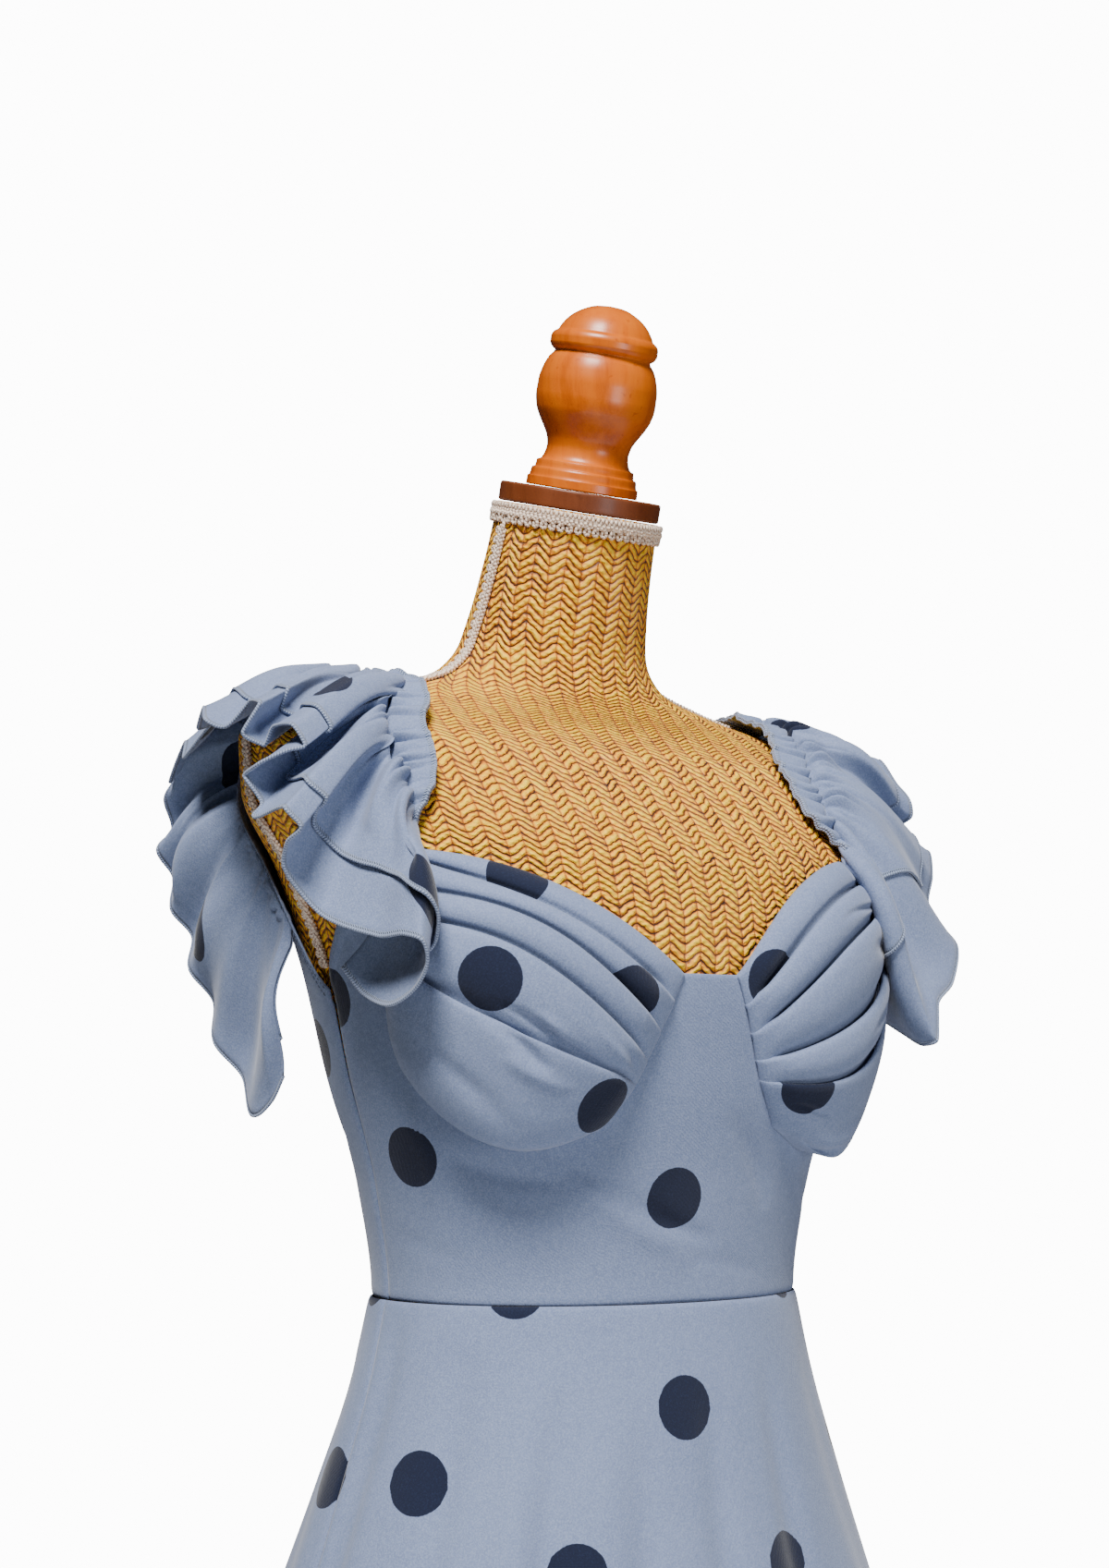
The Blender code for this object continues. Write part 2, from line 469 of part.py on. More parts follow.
def make_bodice(finish, collection):
    """The front panel with its tongue between the cups, and the back panel."""
    half = np.concatenate([[0, 3.6, 6.0], np.linspace(9, 22, 5), np.linspace(28, 60, 6), [65.5, 68, 72, 78, 84]])
    angle = np.concatenate([[-90 + SEAM_ANGLE], -half[:0:-1] + CENTRE_FRONT, half + CENTRE_FRONT, [90 - SEAM_ANGLE]])
    off = np.abs(angle - CENTRE_FRONT)
    top = np.where(angle < CENTRE_FRONT, front_top("right", off), front_top("left", off))
    share = np.linspace(0, 1, 6)[:, None]
    grid = on_form(SEAM + (top - SEAM) * share, angle[None, :], EASE)
    cloth("bodice_front", grid, finish["cloth"], collection)
    side = np.array([90 + SEAM_ANGLE, 95.5, 101, 107, 112.5, 118, 123, 128, 135, 142, 151, 160, 170])
    angle = np.concatenate([side, [180], 360 - side[::-1]])
    top = curve_through(*zip(*BACK_TOP), 180 - np.abs(180 - angle))
    share = np.array([0, 0.22, 0.44, 0.62, 0.76, 0.85, 0.93, 1.0])[:, None]
    grid = on_form(SEAM + (top - SEAM) * share, angle[None, :], EASE + 0.001 * np.clip(2 * share - 1, 0, 1))
    cloth("bodice_back", grid, finish["cloth"], collection)


# ---------------------------------------------------------------- the shoulder ruffles
def strap_point(side, share, to_neck):
    """The strap on the form: a share of the gathering line, and how far toward the neck from it."""
    sign = 1 if side == "left" else -1
    rise, angle = np.array(GATHER[side], float).T
    points = on_form(rise, sign * angle)
    arc = np.concatenate([[0], np.cumsum(np.linalg.norm(np.diff(points, axis=0), axis=1))])
    rise = curve_through(arc / arc[-1], rise, share)
    angle = curve_through(arc / arc[-1], angle, share) * sign
    out = curve_through(*zip(*LINE_OUT), share)
    line = on_form(rise, angle, out)
    around, upwards, skin = skin_directions(rise, angle)
    ahead, back = (
        np.stack([curve_through(arc / arc[-1], values, np.clip(share + step, 0, 1)) for values in points.T], axis=-1)
        for step in (0.08, -0.08)
    )
    across = unit(np.cross(skin, unit(ahead - back))) * sign
    aa, uu, au = (np.sum(p * q, axis=-1) for p, q in ((around, around), (upwards, upwards), (around, upwards)))
    along_around, along_up = np.sum(across * around, axis=-1), np.sum(across * upwards, axis=-1)
    whole = aa * uu - au * au
    turn = (along_around * uu - along_up * au) / whole
    climb = (along_up * aa - along_around * au) / whole
    moved = on_form(rise + climb * to_neck, angle + turn * to_neck, out + 0.06 * to_neck)
    return np.where(np.asarray(to_neck)[..., None] > 0, moved, line), skin


def ruffle_layer(side, knots, across, upper=False):
    """A ruffle layer: across runs from -1 (the heading's edge) over 0 (gathers) to 1 (the flounce's edge)."""
    table = RUFFLE_EDGE[side]
    rows = np.arange(len(table), dtype=float)
    near = np.exp(-(((rows[:, None] - rows[None, :]) / MEAN_SPREAD) ** 2))
    near /= near.sum(axis=1, keepdims=True)
    share, x, y, rise, reach, lift = (column(table, RUFFLE_EDGE_COLUMNS, name) for name in RUFFLE_EDGE_COLUMNS)
    edge = np.stack([x, y, WAIST_HEIGHT + rise], axis=-1)
    mean = near @ edge
    edge = np.stack([curve_through(rows, values, knots) for values in (edge - mean).T], axis=-1)
    mean = np.stack([curve_through(rows, values, knots) for values in mean.T], axis=-1)
    share, reach, lift = (curve_through(rows, values, knots) for values in (share, reach, lift))
    grid = []
    for part in across:
        line, skin = strap_point(side, share, max(-part, 0.0) * HEADING)
        down = max(part, 0.0)
        spring = RUFFLE_ARCH + FRONT_SPRING * np.exp(-((share / 0.09) ** 2))
        arch = spring * math.sin(math.pi * down) * (1.15 - down)
        grid.append(line * (1 - down) + mean * down + edge * down ** FOLD_GROWTH + skin * arch[:, None])
    grid = np.array(grid)
    normal = normals_of(grid)
    normal = normal * np.sign(np.mean(np.sum(normal[1] * skin, axis=-1)))
    for _ in range(2):
        padded = np.pad(normal, ((0, 0), (1, 1), (0, 0)), mode="edge")
        normal = unit(padded[:, :-2] + 2 * normal + padded[:, 2:])
    down = np.clip(np.asarray(across), 0, 1)
    last = ((reach - down[-2]) / (down[-1] - down[-2]))[:, None]
    hem = grid[-1:].copy(), normal[-1:].copy()
    grid[-1] = grid[-2] + (grid[-1] - grid[-2]) * last
    normal[-1] = unit(normal[-2] + (normal[-1] - normal[-2]) * last)
    if not upper:
        grid, normal = np.concatenate([grid, hem[0]]), np.concatenate([normal, hem[1]])
        inner = np.zeros(grid.shape[:2])
    else:
        inner = RUFFLE_CLOTH + LAYER_GAP + 0.0004 * down[:, None] + lift * down[:, None] ** 2
        grid[0] = grid[1] + (grid[0] - grid[1]) * 0.92
    return grid + normal * inner[..., None], grid + normal * (inner + RUFFLE_CLOTH)[..., None]


def make_ruffles(finish, collection):
    """Two layers a side, gathered on one line: the upper one lies on the lower one's points, moved out."""
    for side in ("right", "left"):
        knots = np.arange(len(RUFFLE_EDGE[side]), dtype=float)
        for name, upper in (("under", False), ("over", True)):
            inner, outer = ruffle_layer(side, knots, ROWS, upper)
            shell(f"ruffle_{side}_{name}", inner, outer, finish["cloth"], collection)


# ---------------------------------------------------------------- the skirt
def skirt_point(fall, angle):
    """The skirt's inner face: an oval that widens as it falls, with folds that deepen to the hem."""
    fall, angle = np.broadcast_arrays(np.asarray(fall, float), np.asarray(angle, float))
    falls = column(SKIRT, SKIRT_COLUMNS, "fall")
    half_width, front, back = (curve_through(falls, column(SKIRT, SKIRT_COLUMNS, n), fall) for n in SKIRT_COLUMNS[1:])
    crest = np.array([row[0] for row in SKIRT_FOLDS], float)
    depth, start = np.array([row[1:] for row in SKIRT_FOLDS], float).T
    crest = np.concatenate([[crest[-1] - 360], crest, [crest[0] + 360]])
    depth = np.concatenate([[depth[-1]], depth, [depth[0]]])
    start = np.concatenate([[start[-1]], start, [start[0]]])
    turn = (angle + 180) % 360 - 180
    k = np.clip(np.searchsorted(crest, turn, side="right") - 1, 0, len(crest) - 2)
    part = (turn - crest[k]) / (crest[k + 1] - crest[k])
    deep = depth[k] + (depth[k + 1] - depth[k]) * part
    begin = start[k] + (start[k + 1] - start[k]) * part
    grown = np.clip((fall - begin) / (SKIRT_LENGTH - begin), 0, 1) ** 1.15
    fold = deep * grown * 0.5 * (np.cos(2 * np.pi * part) - 0.15)
    x, y = oval(turn, half_width + fold, front + fold, back + fold, 2.05)
    return np.stack([x, y, WAIST_HEIGHT - fall], axis=-1)


def make_skirt(finish, collection):
    """Front and back skirt panels, joined at the side seams."""
    fall = np.array([SKIRT_LENGTH, 0.80, 0.64, 0.48, 0.34, 0.22, 0.12, 0.05, SEAM])
    for name, low, high in (("skirt_front", -90, 90), ("skirt_back", 90, 270)):
        angle = np.linspace(low + SEAM_ANGLE, high - SEAM_ANGLE, 38)
        cloth(name, skirt_point(fall[:, None], angle[None, :]), finish["cloth"], collection)


def main():
    for left_over in list(bpy.data.objects):
        bpy.data.objects.remove(left_over)
    collection = bpy.data.collections.new("flamenco_dress_on_form")
    bpy.context.scene.collection.children.link(collection)
    finish = {
        "cloth": material("blue_crepe", (0.36, 0.47, 0.68), 0.75),
        "straw": material("woven_straw", (0.78, 0.52, 0.17), 0.80),
        "braid": material("cream_braid", (0.80, 0.68, 0.55), 0.85),
        "wood": material("varnished_wood", (0.68, 0.28, 0.06), 0.35),
        "dark_wood": material("dark_wood", (0.17, 0.07, 0.03), 0.50),
    }
    make_form(finish, collection)
    make_braids(finish, collection)
    make_finial(finish, collection)
    make_stand(finish, collection)
    make_bodice(finish, collection)
    make_cups(finish, collection)
    make_ruffles(finish, collection)
    make_skirt(finish, collection)


main()
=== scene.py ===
# %% [markdown]
# # A dotted flamenco dress on its dress form
#
# The dress is sewn from stretch crepe: a fitted bodice, two pleated cups, a full skirt and a pair of
# two-layer ruffles that run over the shoulders. It hangs on a limbless form covered in woven straw.
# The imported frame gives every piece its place, and this lesson gives each one its fine surface:
# first the frame and the camera, then the tools, the finishes, the form and the dress.

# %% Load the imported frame
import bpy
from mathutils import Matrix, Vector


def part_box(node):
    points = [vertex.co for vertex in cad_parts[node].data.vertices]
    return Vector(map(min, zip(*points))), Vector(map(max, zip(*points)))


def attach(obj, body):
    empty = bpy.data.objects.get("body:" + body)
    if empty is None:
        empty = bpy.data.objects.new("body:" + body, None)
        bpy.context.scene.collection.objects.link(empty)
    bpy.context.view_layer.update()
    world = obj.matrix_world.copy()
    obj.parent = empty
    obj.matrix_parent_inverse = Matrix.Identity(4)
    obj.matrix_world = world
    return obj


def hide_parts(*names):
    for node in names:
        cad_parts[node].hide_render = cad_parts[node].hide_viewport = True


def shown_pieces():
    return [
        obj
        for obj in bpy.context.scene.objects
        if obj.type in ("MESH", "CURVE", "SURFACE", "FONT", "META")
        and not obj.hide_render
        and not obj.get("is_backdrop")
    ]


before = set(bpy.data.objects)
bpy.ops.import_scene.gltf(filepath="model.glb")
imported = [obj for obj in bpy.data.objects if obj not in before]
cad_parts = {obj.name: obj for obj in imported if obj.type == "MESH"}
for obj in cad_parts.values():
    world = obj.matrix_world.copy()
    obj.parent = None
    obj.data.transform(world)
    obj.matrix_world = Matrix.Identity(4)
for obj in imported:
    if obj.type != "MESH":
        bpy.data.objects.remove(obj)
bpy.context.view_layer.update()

import math

import bpy
import numpy as np
from mathutils import Matrix, Vector

print("nodes in the frame:", len(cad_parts))

# %% [markdown]
# ## The camera
#
# Heights on the figure are rises over the waist seam, because everything a dressmaker measures starts
# there. The camera stands at the wearer's right, a little over the waist, and looks slightly up.

# %% Camera
SEAM = 0.0004            # gap between two pieces at a seam
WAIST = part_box("skirt_front")[1][2] + SEAM
CAMERA_PLACE = (-0.7353, -1.1322, WAIST + 0.104)
CAMERA_HEADING, CAMERA_PITCH = 32.33, 7.65     # degrees from +Y toward +X, degrees up
CAMERA_LENS, FILM_WIDTH = 54.4, 36     # millimetres


def make_camera():
    """A camera on its own spot, turned by a heading and a pitch, with no shift."""
    eye = bpy.data.objects.new("camera", bpy.data.cameras.new("camera"))
    bpy.context.scene.collection.objects.link(eye)
    eye.location = CAMERA_PLACE
    eye.rotation_euler = (math.radians(90 + CAMERA_PITCH), 0, math.radians(-CAMERA_HEADING))
    eye.data.sensor_width = FILM_WIDTH
    eye.data.lens = CAMERA_LENS
    bpy.context.scene.camera = eye


make_camera()
print("waist seam at", round(WAIST, 4))

# %% [markdown]
# ## A small studio
#
# Cloth shows its folds when one large soft light comes from above and one side, here over the wearer's
# right shoulder. A weak light from the front opens the shadows under the bust and inside the ruffles.

# %% Floor and lights
def area_light(name, place, target, size, power, colour):
    """A square soft light that faces a point."""
    light = bpy.data.objects.new(name, bpy.data.lights.new(name, "AREA"))
    bpy.context.scene.collection.objects.link(light)
    light.location = place
    light.rotation_euler = (Vector(target) - Vector(place)).to_track_quat("-Z", "Y").to_euler()
    light.data.size = size
    light.data.energy = power
    light.data.color = colour


def make_studio():
    """A world that looks white but lights softly, a wide key from above and a weak front light."""
    world = bpy.data.worlds.new("pale_room")
    world.use_nodes = True
    nodes, links = world.node_tree.nodes, world.node_tree.links
    room = nodes["Background"]
    room.inputs["Color"].default_value = (0.94, 0.97, 1.0, 1.0)
    room.inputs["Strength"].default_value = 0.05
    wall = nodes.new("ShaderNodeBackground")
    wall.inputs["Strength"].default_value = 16.0
    seen, mix = nodes.new("ShaderNodeLightPath"), nodes.new("ShaderNodeMixShader")
    links.new(seen.outputs["Is Camera Ray"], mix.inputs["Fac"])
    links.new(room.outputs["Background"], mix.inputs[1])
    links.new(wall.outputs["Background"], mix.inputs[2])
    links.new(mix.outputs["Shader"], nodes["World Output"].inputs["Surface"])
    bpy.context.scene.world = world
    chest = (0, 0, WAIST + 0.2)
    area_light("key_light", (-2.10, -2.20, WAIST + 4.1), chest,
               size=1.5, power=610, colour=(1.0, 0.985, 0.965))
    area_light("fill_light", (0.4, -2.9, WAIST - 0.2), chest,
               size=1.0, power=34, colour=(0.98, 0.98, 1.0))


make_studio()

# %% [markdown]
# ## Curves through short tables
#
# A garment is drafted from a few measures. Each table below holds such measures, and a monotone cubic
# runs through them: it is smooth and never swings past a measure, so a fold stays where it was put.

# %% Curves, directions and distances on a grid
def curve_through(knots, values, at):
    """A cubic through the knots whose slopes are harmonic means, so that it never overshoots them."""
    knots, values = np.asarray(knots, float), np.asarray(values, float)
    at = np.clip(np.asarray(at, float), knots[0], knots[-1])
    step = np.diff(knots)
    slope = np.diff(values) / step
    tangent = np.zeros_like(values)
    tangent[0], tangent[-1] = slope[0], slope[-1]
    same_way = slope[:-1] * slope[1:] > 0
    before, after = 2 * step[1:] + step[:-1], step[1:] + 2 * step[:-1]
    safe = np.where(same_way, slope[:-1], 1.0), np.where(same_way, slope[1:], 1.0)
    tangent[1:-1] = np.where(same_way, (before + after) / (before / safe[0] + after / safe[1]), 0.0)
    k = np.clip(np.searchsorted(knots, at, side="right") - 1, 0, len(knots) - 2)
    t = (at - knots[k]) / step[k]
    rise = (1 + 2 * t) * (1 - t) ** 2 * values[k] + t * t * (3 - 2 * t) * values[k + 1]
    return rise + step[k] * (t * (1 - t) ** 2 * tangent[k] + t * t * (t - 1) * tangent[k + 1])


def column(table, columns, name):
    """One named column of a table as an array."""
    return np.array([row[columns.index(name)] for row in table], float)


def unit(vectors):
    """The same directions with a length of one."""
    return vectors / np.linalg.norm(vectors, axis=-1, keepdims=True)


def normals_of(grid):
    """The normal at each point of a grid: the cross product of its steps along and up."""
    return unit(np.cross(np.gradient(grid, axis=1), np.gradient(grid, axis=0)))


def run_along(grid, axis):
    """How far each point is from its row's or its column's first point, walking on the grid."""
    step = np.linalg.norm(np.diff(grid, axis=axis), axis=-1)
    start = np.zeros_like(np.take(step, [0], axis))
    return np.concatenate([start, np.cumsum(step, axis=axis)], axis)


def walk(path):
    """How far each point of a path is from its first point, along the path."""
    return np.concatenate([[0], np.cumsum(np.linalg.norm(np.diff(path, axis=0), axis=1))])


def smoothed(values, width, axis=1):
    """Each value as the bell-weighted mean of its neighbours along an axis, width in grid steps."""
    reach = int(math.ceil(2.5 * width))
    weight = np.exp(-((np.arange(-reach, reach + 1) / width) ** 2))
    weight /= weight.sum()
    pad = [(reach, reach) if k == axis else (0, 0) for k in range(values.ndim)]
    padded = np.pad(values, pad, mode="edge")
    size = values.shape[axis]
    return sum(w * np.take(padded, np.arange(k, k + size), axis) for k, w in enumerate(weight))


def soft_step(value):
    """0 below 0, 1 over 1 and an S between them."""
    part = np.clip(value, 0, 1)
    return part * part * (3 - 2 * part)


# %% [markdown]
# ## From grids to meshes
#
# Every surface here is a grid of points, worked out as whole arrays. A woven or turned piece is one
# skin. A sheet of cloth is a shell: an outer and an inner grid joined by a rounded rim, because cloth
# has an edge that catches light. Each point carries a few numbers that the finishes read.

# %% Mesh makers
RIM_BULGE = 0.8          # how far a sheet's rim stands out, in half thicknesses
MOST_OF_BOX = 0.999      # a cut piece is at least this little smaller than the rectangle round it


def grid_quads(rows, columns, wrap_rows=False, wrap_columns=False):
    """Four corners for each cell of a grid, counter-clockwise where rows rise and columns run right."""
    index = np.arange(rows * columns).reshape(rows, columns)
    index = np.concatenate([index, index[:1]]) if wrap_rows else index
    index = np.concatenate([index, index[:, :1]], axis=1) if wrap_columns else index
    return np.stack([index[:-1, :-1], index[:-1, 1:], index[1:, 1:], index[1:, :-1]], -1).reshape(-1, 4)


def corner_uv(flat, rows, columns):
    """The UVs of each cell's corners, from a grid of UVs that has the closing row or column too."""
    flat = flat[:rows, :columns]
    corners = flat[:-1, :-1], flat[:-1, 1:], flat[1:, 1:], flat[1:, :-1]
    return np.stack(corners, axis=2).reshape(-1, 2)


def make_mesh(name, points, quads, uv, finish, fields=None, caps=()):
    """An object from points, quads, the UV of every corner, and one number a point for each field."""
    mesh = bpy.data.meshes.new(name)
    mesh.from_pydata(points.tolist(), [], quads.tolist() + [list(cap) for cap in caps])
    layer = mesh.uv_layers.new(name="cloth")
    whole = np.zeros((len(mesh.loops), 2))
    whole[:len(uv)] = uv
    layer.data.foreach_set("uv", whole.ravel())
    for field, values in (fields or {}).items():
        mesh.attributes.new(field, "FLOAT", "POINT").data.foreach_set("value", values.astype(np.float32))
    mesh.shade_smooth()
    made = bpy.data.objects.new(name, mesh)
    made.data.materials.append(finish)
    bpy.context.scene.collection.objects.link(made)
    return made


def settle(made, slot, *nodes):
    """The piece rides on the one body and stands for its CAD nodes; its slot, the finish's name, is not used.
    """
    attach(made, "root")
    if nodes:
        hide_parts(*nodes)
    print(made.name, sum(len(face.vertices) - 2 for face in made.data.polygons), "triangles")


def shell_parts(inner, outer, fields):
    """A closed sheet between two grids: outer skin, inner skin, and a rim that bulges outward."""
    rows, columns = inner.shape[:2]
    count = rows * columns
    skin = grid_quads(rows, columns)
    index = np.arange(count).reshape(rows, columns)
    edge = np.concatenate([index[0, :-1], index[:-1, -1], index[-1, :0:-1], index[:0:-1, 0]])
    row, place = np.divmod(edge, columns)
    inside = index[np.clip(row, 1, rows - 2), np.clip(place, 1, columns - 2)]
    flat_in, flat_out = inner.reshape(-1, 3), outer.reshape(-1, 3)
    centre = (flat_in + flat_out) / 2
    half = np.linalg.norm(flat_out[edge] - flat_in[edge], axis=1, keepdims=True) / 2
    rim = centre[edge] + unit(centre[edge] - centre[inside]) * half * RIM_BULGE
    after, ring = np.roll(edge, -1), 2 * count + np.arange(len(edge))
    ring_after = np.roll(ring, -1)
    rim_out = np.stack([after, edge, ring, ring_after], -1)
    rim_in = np.stack([ring_after, ring, edge + count, after + count], -1)
    quads = np.concatenate([skin, skin[:, ::-1] + count, rim_out, rim_in])
    facing = np.cross(np.gradient(outer, axis=1), np.gradient(outer, axis=0))
    if np.mean(np.sum(facing * (outer - inner), axis=-1)) < 0:
        quads = quads[:, ::-1]
    flat = np.stack([run_along(outer, 1), run_along(outer, 0)], -1).reshape(-1, 2)
    flat = np.concatenate([flat, flat, flat[edge]])
    fields = {name: values.ravel() for name, values in fields.items()}
    numbers = {name: np.concatenate([values, values, values[edge]]) for name, values in fields.items()}
    return np.concatenate([flat_out, flat_in, rim]), quads, flat[quads].reshape(-1, 2), numbers


def joined(parts):
    """Several (points, quads, corner UVs, fields) as one."""
    start = np.cumsum([0] + [len(part[0]) for part in parts[:-1]])
    quads = np.concatenate([part[1] + first for part, first in zip(parts, start)])
    numbers = {name: np.concatenate([part[3][name] for part in parts]) for name in parts[0][3]}
    return np.concatenate([p[0] for p in parts]), quads, np.concatenate([p[2] for p in parts]), numbers


def cut_size(face):
    """(longest row, mean column, area) of a sheet's face: the size it had before it was sewn in."""
    along, down = run_along(face, 1)[:, -1].max(), run_along(face, 0)[-1].mean()
    cells = np.cross(np.diff(face, axis=1)[:-1], np.diff(face, axis=0)[:, :-1])
    return float(along), float(down), float(np.linalg.norm(cells, axis=-1).sum())


def cloth_piece(name, shells, size, node):
    """One sewn piece from its shells of (inner, outer, fields), with its cut size printed."""
    points, quads, uv, fields = joined([shell_parts(*shell) for shell in shells])
    made = make_mesh(name, points, quads, uv, CREPE, fields)
    settle(made, "blue_crepe", node)
    width, length, area = size
    area = min(area, MOST_OF_BOX * width * length)
    print("  cut", round(width, 3), "x", round(length, 3), "m, area", round(area, 4))


# %% [markdown]
# ## Tubes and stitches
#
# Braid, overlock and topstitching are all thread. A strand is a tube round a path, turned by the
# cloth's own normals so that it never twists. A run of stitches is the same short bead, copied along
# a seam by arrays.

# %% Thread makers
TUBE_SIDES = 6
BEAD_SIDES = 4
BEAD_STATIONS = (-1.0, -0.62, 0.0, 0.62, 1.0)    # along half a stitch
BEAD_WIDTHS = (0.35, 0.9, 1.0, 0.9, 0.35)        # times its radius
BEAD_HEIGHTS = (-0.9, 0.1, 0.45, 0.1, -0.9)      # of its middle over the cloth, times its radius


def tube_parts(path, radius, normals, closed=False):
    """A tube: each ring is the path's point plus a radius times cosine and sine of two side vectors."""
    step = np.roll(path, -1, 0) - np.roll(path, 1, 0) if closed else np.gradient(path, axis=0)
    forward = unit(step)
    side = unit(np.cross(forward, normals))
    lift = np.cross(side, forward)
    turn = np.arange(TUBE_SIDES) * 2 * np.pi / TUBE_SIDES
    spokes = np.cos(turn)[None, :, None] * lift[:, None] + np.sin(turn)[None, :, None] * side[:, None]
    points = (path[:, None] + radius * spokes).reshape(-1, 3)
    rows = len(path)
    quads = grid_quads(rows, TUBE_SIDES, wrap_rows=closed, wrap_columns=True)[:, ::-1]
    run = walk(path)
    last = run[-1] + np.linalg.norm(path[0] - path[-1]) if closed else run[-1]
    run = np.append(run, last)
    around = np.arange(TUBE_SIDES + 1) / TUBE_SIDES
    flat = np.stack(np.broadcast_arrays(run[:, None], around[None, :]), -1)
    uv = corner_uv(flat, rows + 1 if closed else rows, TUBE_SIDES + 1)
    uv = uv.reshape(-1, 4, 2)[:, ::-1].reshape(-1, 2)
    if not closed:
        cap = np.array([[0, 1, 2, 3], [0, 3, 4, 5]])
        ends = np.concatenate([cap, (cap + (rows - 1) * TUBE_SIDES)[:, ::-1]])
        quads = np.concatenate([quads, ends])
        uv = np.concatenate([uv, np.zeros((ends.size, 2))])
    return points, quads, uv, {}


def along_path(path, vectors, pitch):
    """Places every pitch metres along a path: their points, directions and the vectors there."""
    run = walk(path)
    at = np.arange(pitch / 2, run[-1], pitch)
    pick = [np.stack([np.interp(at, run, v) for v in rows.T], -1) for rows in (path, vectors)]
    ahead = np.stack([np.interp(at + pitch / 4, run, v) for v in path.T], -1)
    return pick[0], unit(ahead - pick[0] + 1e-9), unit(pick[1])


def stitch_parts(path, normals, pitch=0.0032, length=0.0024, radius=0.00032):
    """A run of stitches: each is a four-sided bead whose ends dip into the cloth."""
    place, forward, lift = along_path(path, normals, pitch)
    side = np.cross(forward, lift)
    station = np.array(BEAD_STATIONS)
    fat = np.array(BEAD_WIDTHS) * radius
    high = np.array(BEAD_HEIGHTS) * radius
    turn = np.arange(BEAD_SIDES) * np.pi / 2 + np.pi / 4
    centre = (place[:, None] + forward[:, None] * station[None, :, None] * length / 2
              + lift[:, None] * high[None, :, None])
    spokes = np.cos(turn)[None, :, None] * lift[:, None] + np.sin(turn)[None, :, None] * side[:, None]
    points = centre[:, :, None] + fat[None, :, None, None] * spokes[:, None]
    one = grid_quads(len(station), BEAD_SIDES, wrap_columns=True)
    one = np.concatenate([one, [[3, 2, 1, 0], [16, 17, 18, 19]]])
    bead = len(station) * BEAD_SIDES
    quads = (one[None] + bead * np.arange(len(place))[:, None, None]).reshape(-1, 4)
    return points.reshape(-1, 3), quads, np.zeros((quads.size, 2)), {}


def thread_piece(name, parts, finish, slot, *nodes):
    """Strands or stitches joined into one piece."""
    points, quads, uv, fields = joined(parts)
    settle(make_mesh(name, points, quads, uv, finish, fields), slot, *nodes)


# %% [markdown]
# ## Shader maths
#
# A finish is arithmetic on what the surface tells it: its place, its UVs, its fields. The class below
# wraps a socket so that the arithmetic reads as such, and one method makes every other node.

# %% A finish and its sockets
class Value:
    """A socket that + - * / and ** work on, with numbers or other sockets."""

    def __init__(self, tree, socket):
        self.tree = tree
        self.socket = socket

    def math(self, operation, *others):
        node = self.tree.nodes.new("ShaderNodeMath")
        node.operation = operation
        for slot, value in zip(node.inputs, (self, *others)):
            connect(self.tree, slot, value)
        return Value(self.tree, node.outputs[0])

    def __add__(self, other):
        return self.math("ADD", other)

    def __sub__(self, other):
        return self.math("SUBTRACT", other)

    def __rsub__(self, other):
        return (self * -1.0).math("ADD", other)

    def __mul__(self, other):
        return self.math("MULTIPLY", other)

    def __truediv__(self, other):
        return self.math("DIVIDE", other)

    def __pow__(self, other):
        return self.math("POWER", other)

    __radd__ = __add__
    __rmul__ = __mul__


def connect(tree, slot, value):
    """A link from a Value, or else a plain number, colour or vector."""
    if isinstance(value, Value):
        tree.links.new(value.socket, slot)
    else:
        slot.default_value = value


